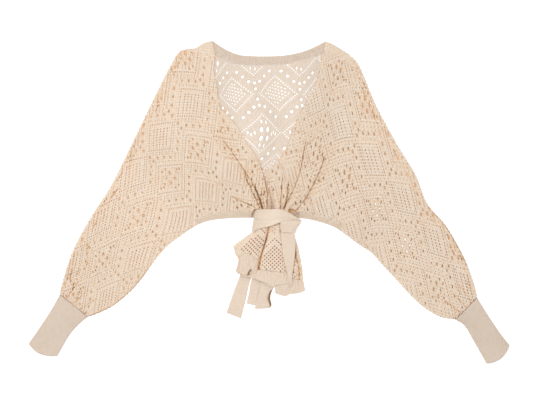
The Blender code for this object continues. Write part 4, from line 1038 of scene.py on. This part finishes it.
KNOT_RIGHT = [(71.5, -39.5), (67, -49), (60.5, -58.5), (57.5, -68)]
KNOT_TOP, KNOT_DROP, KNOT_EDGE, KNOT_BULGE = 26.3, 7.0, 9, 1.5


def wrap_ring(middle_x, half_width, low, high, share):
    """One ring of the flattened tube, the superellipse |u|^n + |z|^n = 1 with n of WRAP_ROUND, laid between
    the wrap's edges."""
    angle = np.arange(WRAP_SIDES) * 2 * np.pi / WRAP_SIDES
    c, s = np.cos(angle), np.sin(angle)
    x = middle_x + np.sign(c) * np.abs(c) ** (2 / WRAP_ROUND) * half_width
    z = (low + high) / 2 + np.sign(s) * np.abs(s) ** (2 / WRAP_ROUND) * (high - low) / 2
    return np.column_stack([x, between_edges(x, share), z])


def between_edges(x, share):
    """Place down the wrap at x: from its upper edge at share 0 to its lower edge at share 1."""
    upper, lower = curve_through(WRAP_UPPER), curve_through(WRAP_LOWER)
    top_y = np.interp(x, upper[:, 0], upper[:, 1])
    return top_y + (np.interp(x, lower[:, 0], lower[:, 1]) - top_y) * share


def knot_underside(points):
    """The knot slopes from the top of the wrap down to the tails, falls off with exp(-distance) at its right
    edge, and bulges as a gaussian along its middle."""
    slope = KNOT_DROP * ease((-44 - points[:, 1]) / 24)
    fall = KNOT_EDGE * np.exp(-nearest(KNOT_RIGHT, points)[0] / 4.0)
    return KNOT_TOP - slope - fall + KNOT_BULGE * bell(points[:, 0] - 46, 12)


outer, inner = [], []
ends = np.array(WRAP, float)
for share in np.linspace(0, 1, WRAP_RINGS):
    left, right = np.interp(share, ends[:, 0], ends[:, 1]), np.interp(share, ends[:, 0], ends[:, 2])
    drop = WRAP_EDGE * (1 - np.sqrt(1 - (1 - min(min(share, 1 - share) * 16, 1)) ** 2))
    for rings, inset in ((outer, 0.0), (inner, WRAP_WALL)):
        rings.append(wrap_ring((left + right) / 2, (right - left) / 2 - max(inset, drop),
                               UPPER_LEVEL + max(inset, 0.6 * drop), WRAP_TOP - max(inset, drop), share))
outer, inner = np.array(outer), np.array(inner)
top = outer.reshape(-1, 3)
upper_half = ease((top[:, 2] - 16) / 6)
for path, depth, width in WRAP_FURROWS:
    top[:, 2] -= upper_half * depth * bell(nearest(path, top[:, :2])[0], width)
round_u = np.tile(np.arange(WRAP_SIDES) * WRAP_STITCHES[0], WRAP_RINGS)
down_v = np.repeat(np.arange(WRAP_RINGS) * WRAP_STITCHES[1], WRAP_SIDES)
stitch = np.column_stack([round_u, down_v]) / STITCH
wrap = shell("tie_round_fronts", outer, inner, stitch, TIE)
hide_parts("tie_wrap")
knot = band("tie_knot", curve_through(KNOT_LEFT), curve_through(KNOT_RIGHT), knot_underside, TIE)
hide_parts("tie_wrap")

# Free ends of the tie: flat strips of the same plain knit, hemmed at their ends. The middle one is folded
# lengthwise, and its right edge curls back, the curl darkened with painted shade.
TIE_LOW = [(-27, -38, -1, -38), (-32, -78, -4, -80), (-46, -112, -18, -117), (-64, -160, -41, -170),
           (-80, -203, -51, -212), (-94, -243, -62, -256)]
TIE_MIDDLE = [(3, -38, 33, -38), (0, -80, 30, -80), (-6, -116, 26, -116), (-17, -171, 15, -178),
              (-22, -195, 2, -196), (-27, -211, -5, -211), (-30, -224, 1, -225), (-31, -235, -1, -233)]
TIE_MIDDLE_FOLD = [(-10, -116, 10, -116), (-38.7, -171, -8, -175), (-44, -198, -14, -200),
                   (-50, -223, -22, -229)]
TIE_MIDDLE_CURL = [(12, -180, 14, -181), (0, -194, 7, -192), (-7, -211, 2, -210), (-2, -226, 5, -226),
                   (-2, -233, 1.5, -233)]
TAIL_THICK, TIE_GAP = 2.1, 0.3        # thickness of a tail under the upper end, and the gap above it
FOLD_LIFT, CURL_LIFT = 1.6, 1.8       # height of the folded part, and how much more at its curled edge


def upper_end_underside(points):
    """The upper tie end lies on the tail, and over the ribs of its hem."""
    over_ribs = RIB_HEIGHT * ease((-points[:, 1] - 138) / 14)
    return tie_bed(points[:, 1]) + TAIL_THICK + TIE_GAP + over_ribs


def folded_part(points):
    """The right part of the middle end lies on the left one, and rises a little to its curled edge."""
    return FOLD_LIFT + CURL_LIFT * ease((points[:, 0] + 24) / 20) * ease((-180 - points[:, 1]) / 20)


def curled_edge(points):
    """The curl lies under that edge."""
    return folded_part(points) - FOLD_LIFT


for name, node_name, sections, underside, hem, shade_lines, flat, area in (
        ("tie_top", "tie_end_top", TIE_TOP, upper_end_underside, 0.0, [], (0.025, 0.121), None),
        ("tie_low", "tie_end_low", TIE_LOW, on_surface, 8.0, [], (0.03, 0.222), None),
        ("tie_middle", "tie_end_middle", TIE_MIDDLE, folded_part, 6.0, [], (0.03, 0.197), None),
        ("tie_middle_fold", "tie_end_middle", TIE_MIDDLE_FOLD, on_surface, 6.0, [], (0.027, 0.118), None),
        # The curl gets a line of painted shade along it.
        ("tie_middle_curl", "tie_end_middle", TIE_MIDDLE_CURL, curled_edge, 0.0,
         [([(10, -184), (4, -196), (0, -211), (3, -226)], 5.0)], (0.01, 0.05), 0.0003)):
    rows = curve_through(sections, 6.0)
    piece = band(name, rows[:, :2], rows[:, 2:], underside, TIE, hem=hem, shade_lines=shade_lines)
    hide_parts(node_name)

# Floor, light and camera: a plain white floor under the garment, a soft lamp above it to the upper left, a
# white sky, and a camera that looks straight down.
CAMERA_AT = (-0.0059, 0.0048, 2.0)
FRAME_WIDTH = 1.1726      # width of the picture, in metres, as all here
LAMP_AT = (-0.50, 0.40, 2.40)
LAMP_SIZE, LAMP_WATTS = 1.0, 26.0
FLOOR_GREY, FLOOR_GLOW, SKY = 0.4, 0.75, 0.8
FLOOR_HALF, FLOOR_Z = 4.0, -0.0005
floor_mesh = bpy.data.meshes.new("floor")
corners = [(x * FLOOR_HALF, y * FLOOR_HALF, FLOOR_Z) for x, y in ((-1, -1), (1, -1), (1, 1), (-1, 1))]
floor_mesh.from_pydata(corners, [], [(0, 1, 2, 3)])
floor = bpy.data.objects.new("floor", floor_mesh)
bpy.context.scene.collection.objects.link(floor)
paper = bpy.data.materials.new("paper")
paper.use_nodes = True
matt = paper.node_tree.nodes["Principled BSDF"]
matt.inputs["Base Color"].default_value = (FLOOR_GREY, FLOOR_GREY, FLOOR_GREY, 1)
matt.inputs["Roughness"].default_value = 0.9
matt.inputs["Specular IOR Level"].default_value = 0.0
matt.inputs["Emission Color"].default_value = (1.0, 1.0, 1.0, 1)
matt.inputs["Emission Strength"].default_value = FLOOR_GLOW
floor_mesh.materials.append(paper)

world = bpy.data.worlds.new("sky")
world.use_nodes = True
world.node_tree.nodes["Background"].inputs["Color"].default_value = (1.0, 1.0, 1.0, 1)
world.node_tree.nodes["Background"].inputs["Strength"].default_value = SKY
bpy.context.scene.world = world

lamp = bpy.data.lights.new("key", "AREA")
lamp.shape = "DISK"
lamp.size = LAMP_SIZE
lamp.energy = LAMP_WATTS
key = bpy.data.objects.new("key", lamp)
key.location = LAMP_AT
key.rotation_euler = (-Vector(LAMP_AT)).to_track_quat("-Z", "Y").to_euler()
bpy.context.scene.collection.objects.link(key)

lens = bpy.data.cameras.new("camera")
lens.type = "ORTHO"
lens.ortho_scale = FRAME_WIDTH
camera = bpy.data.objects.new("camera", lens)
camera.location = CAMERA_AT
bpy.context.scene.collection.objects.link(camera)
bpy.context.scene.camera = camera
bpy.context.scene.view_settings.view_transform = "Standard"
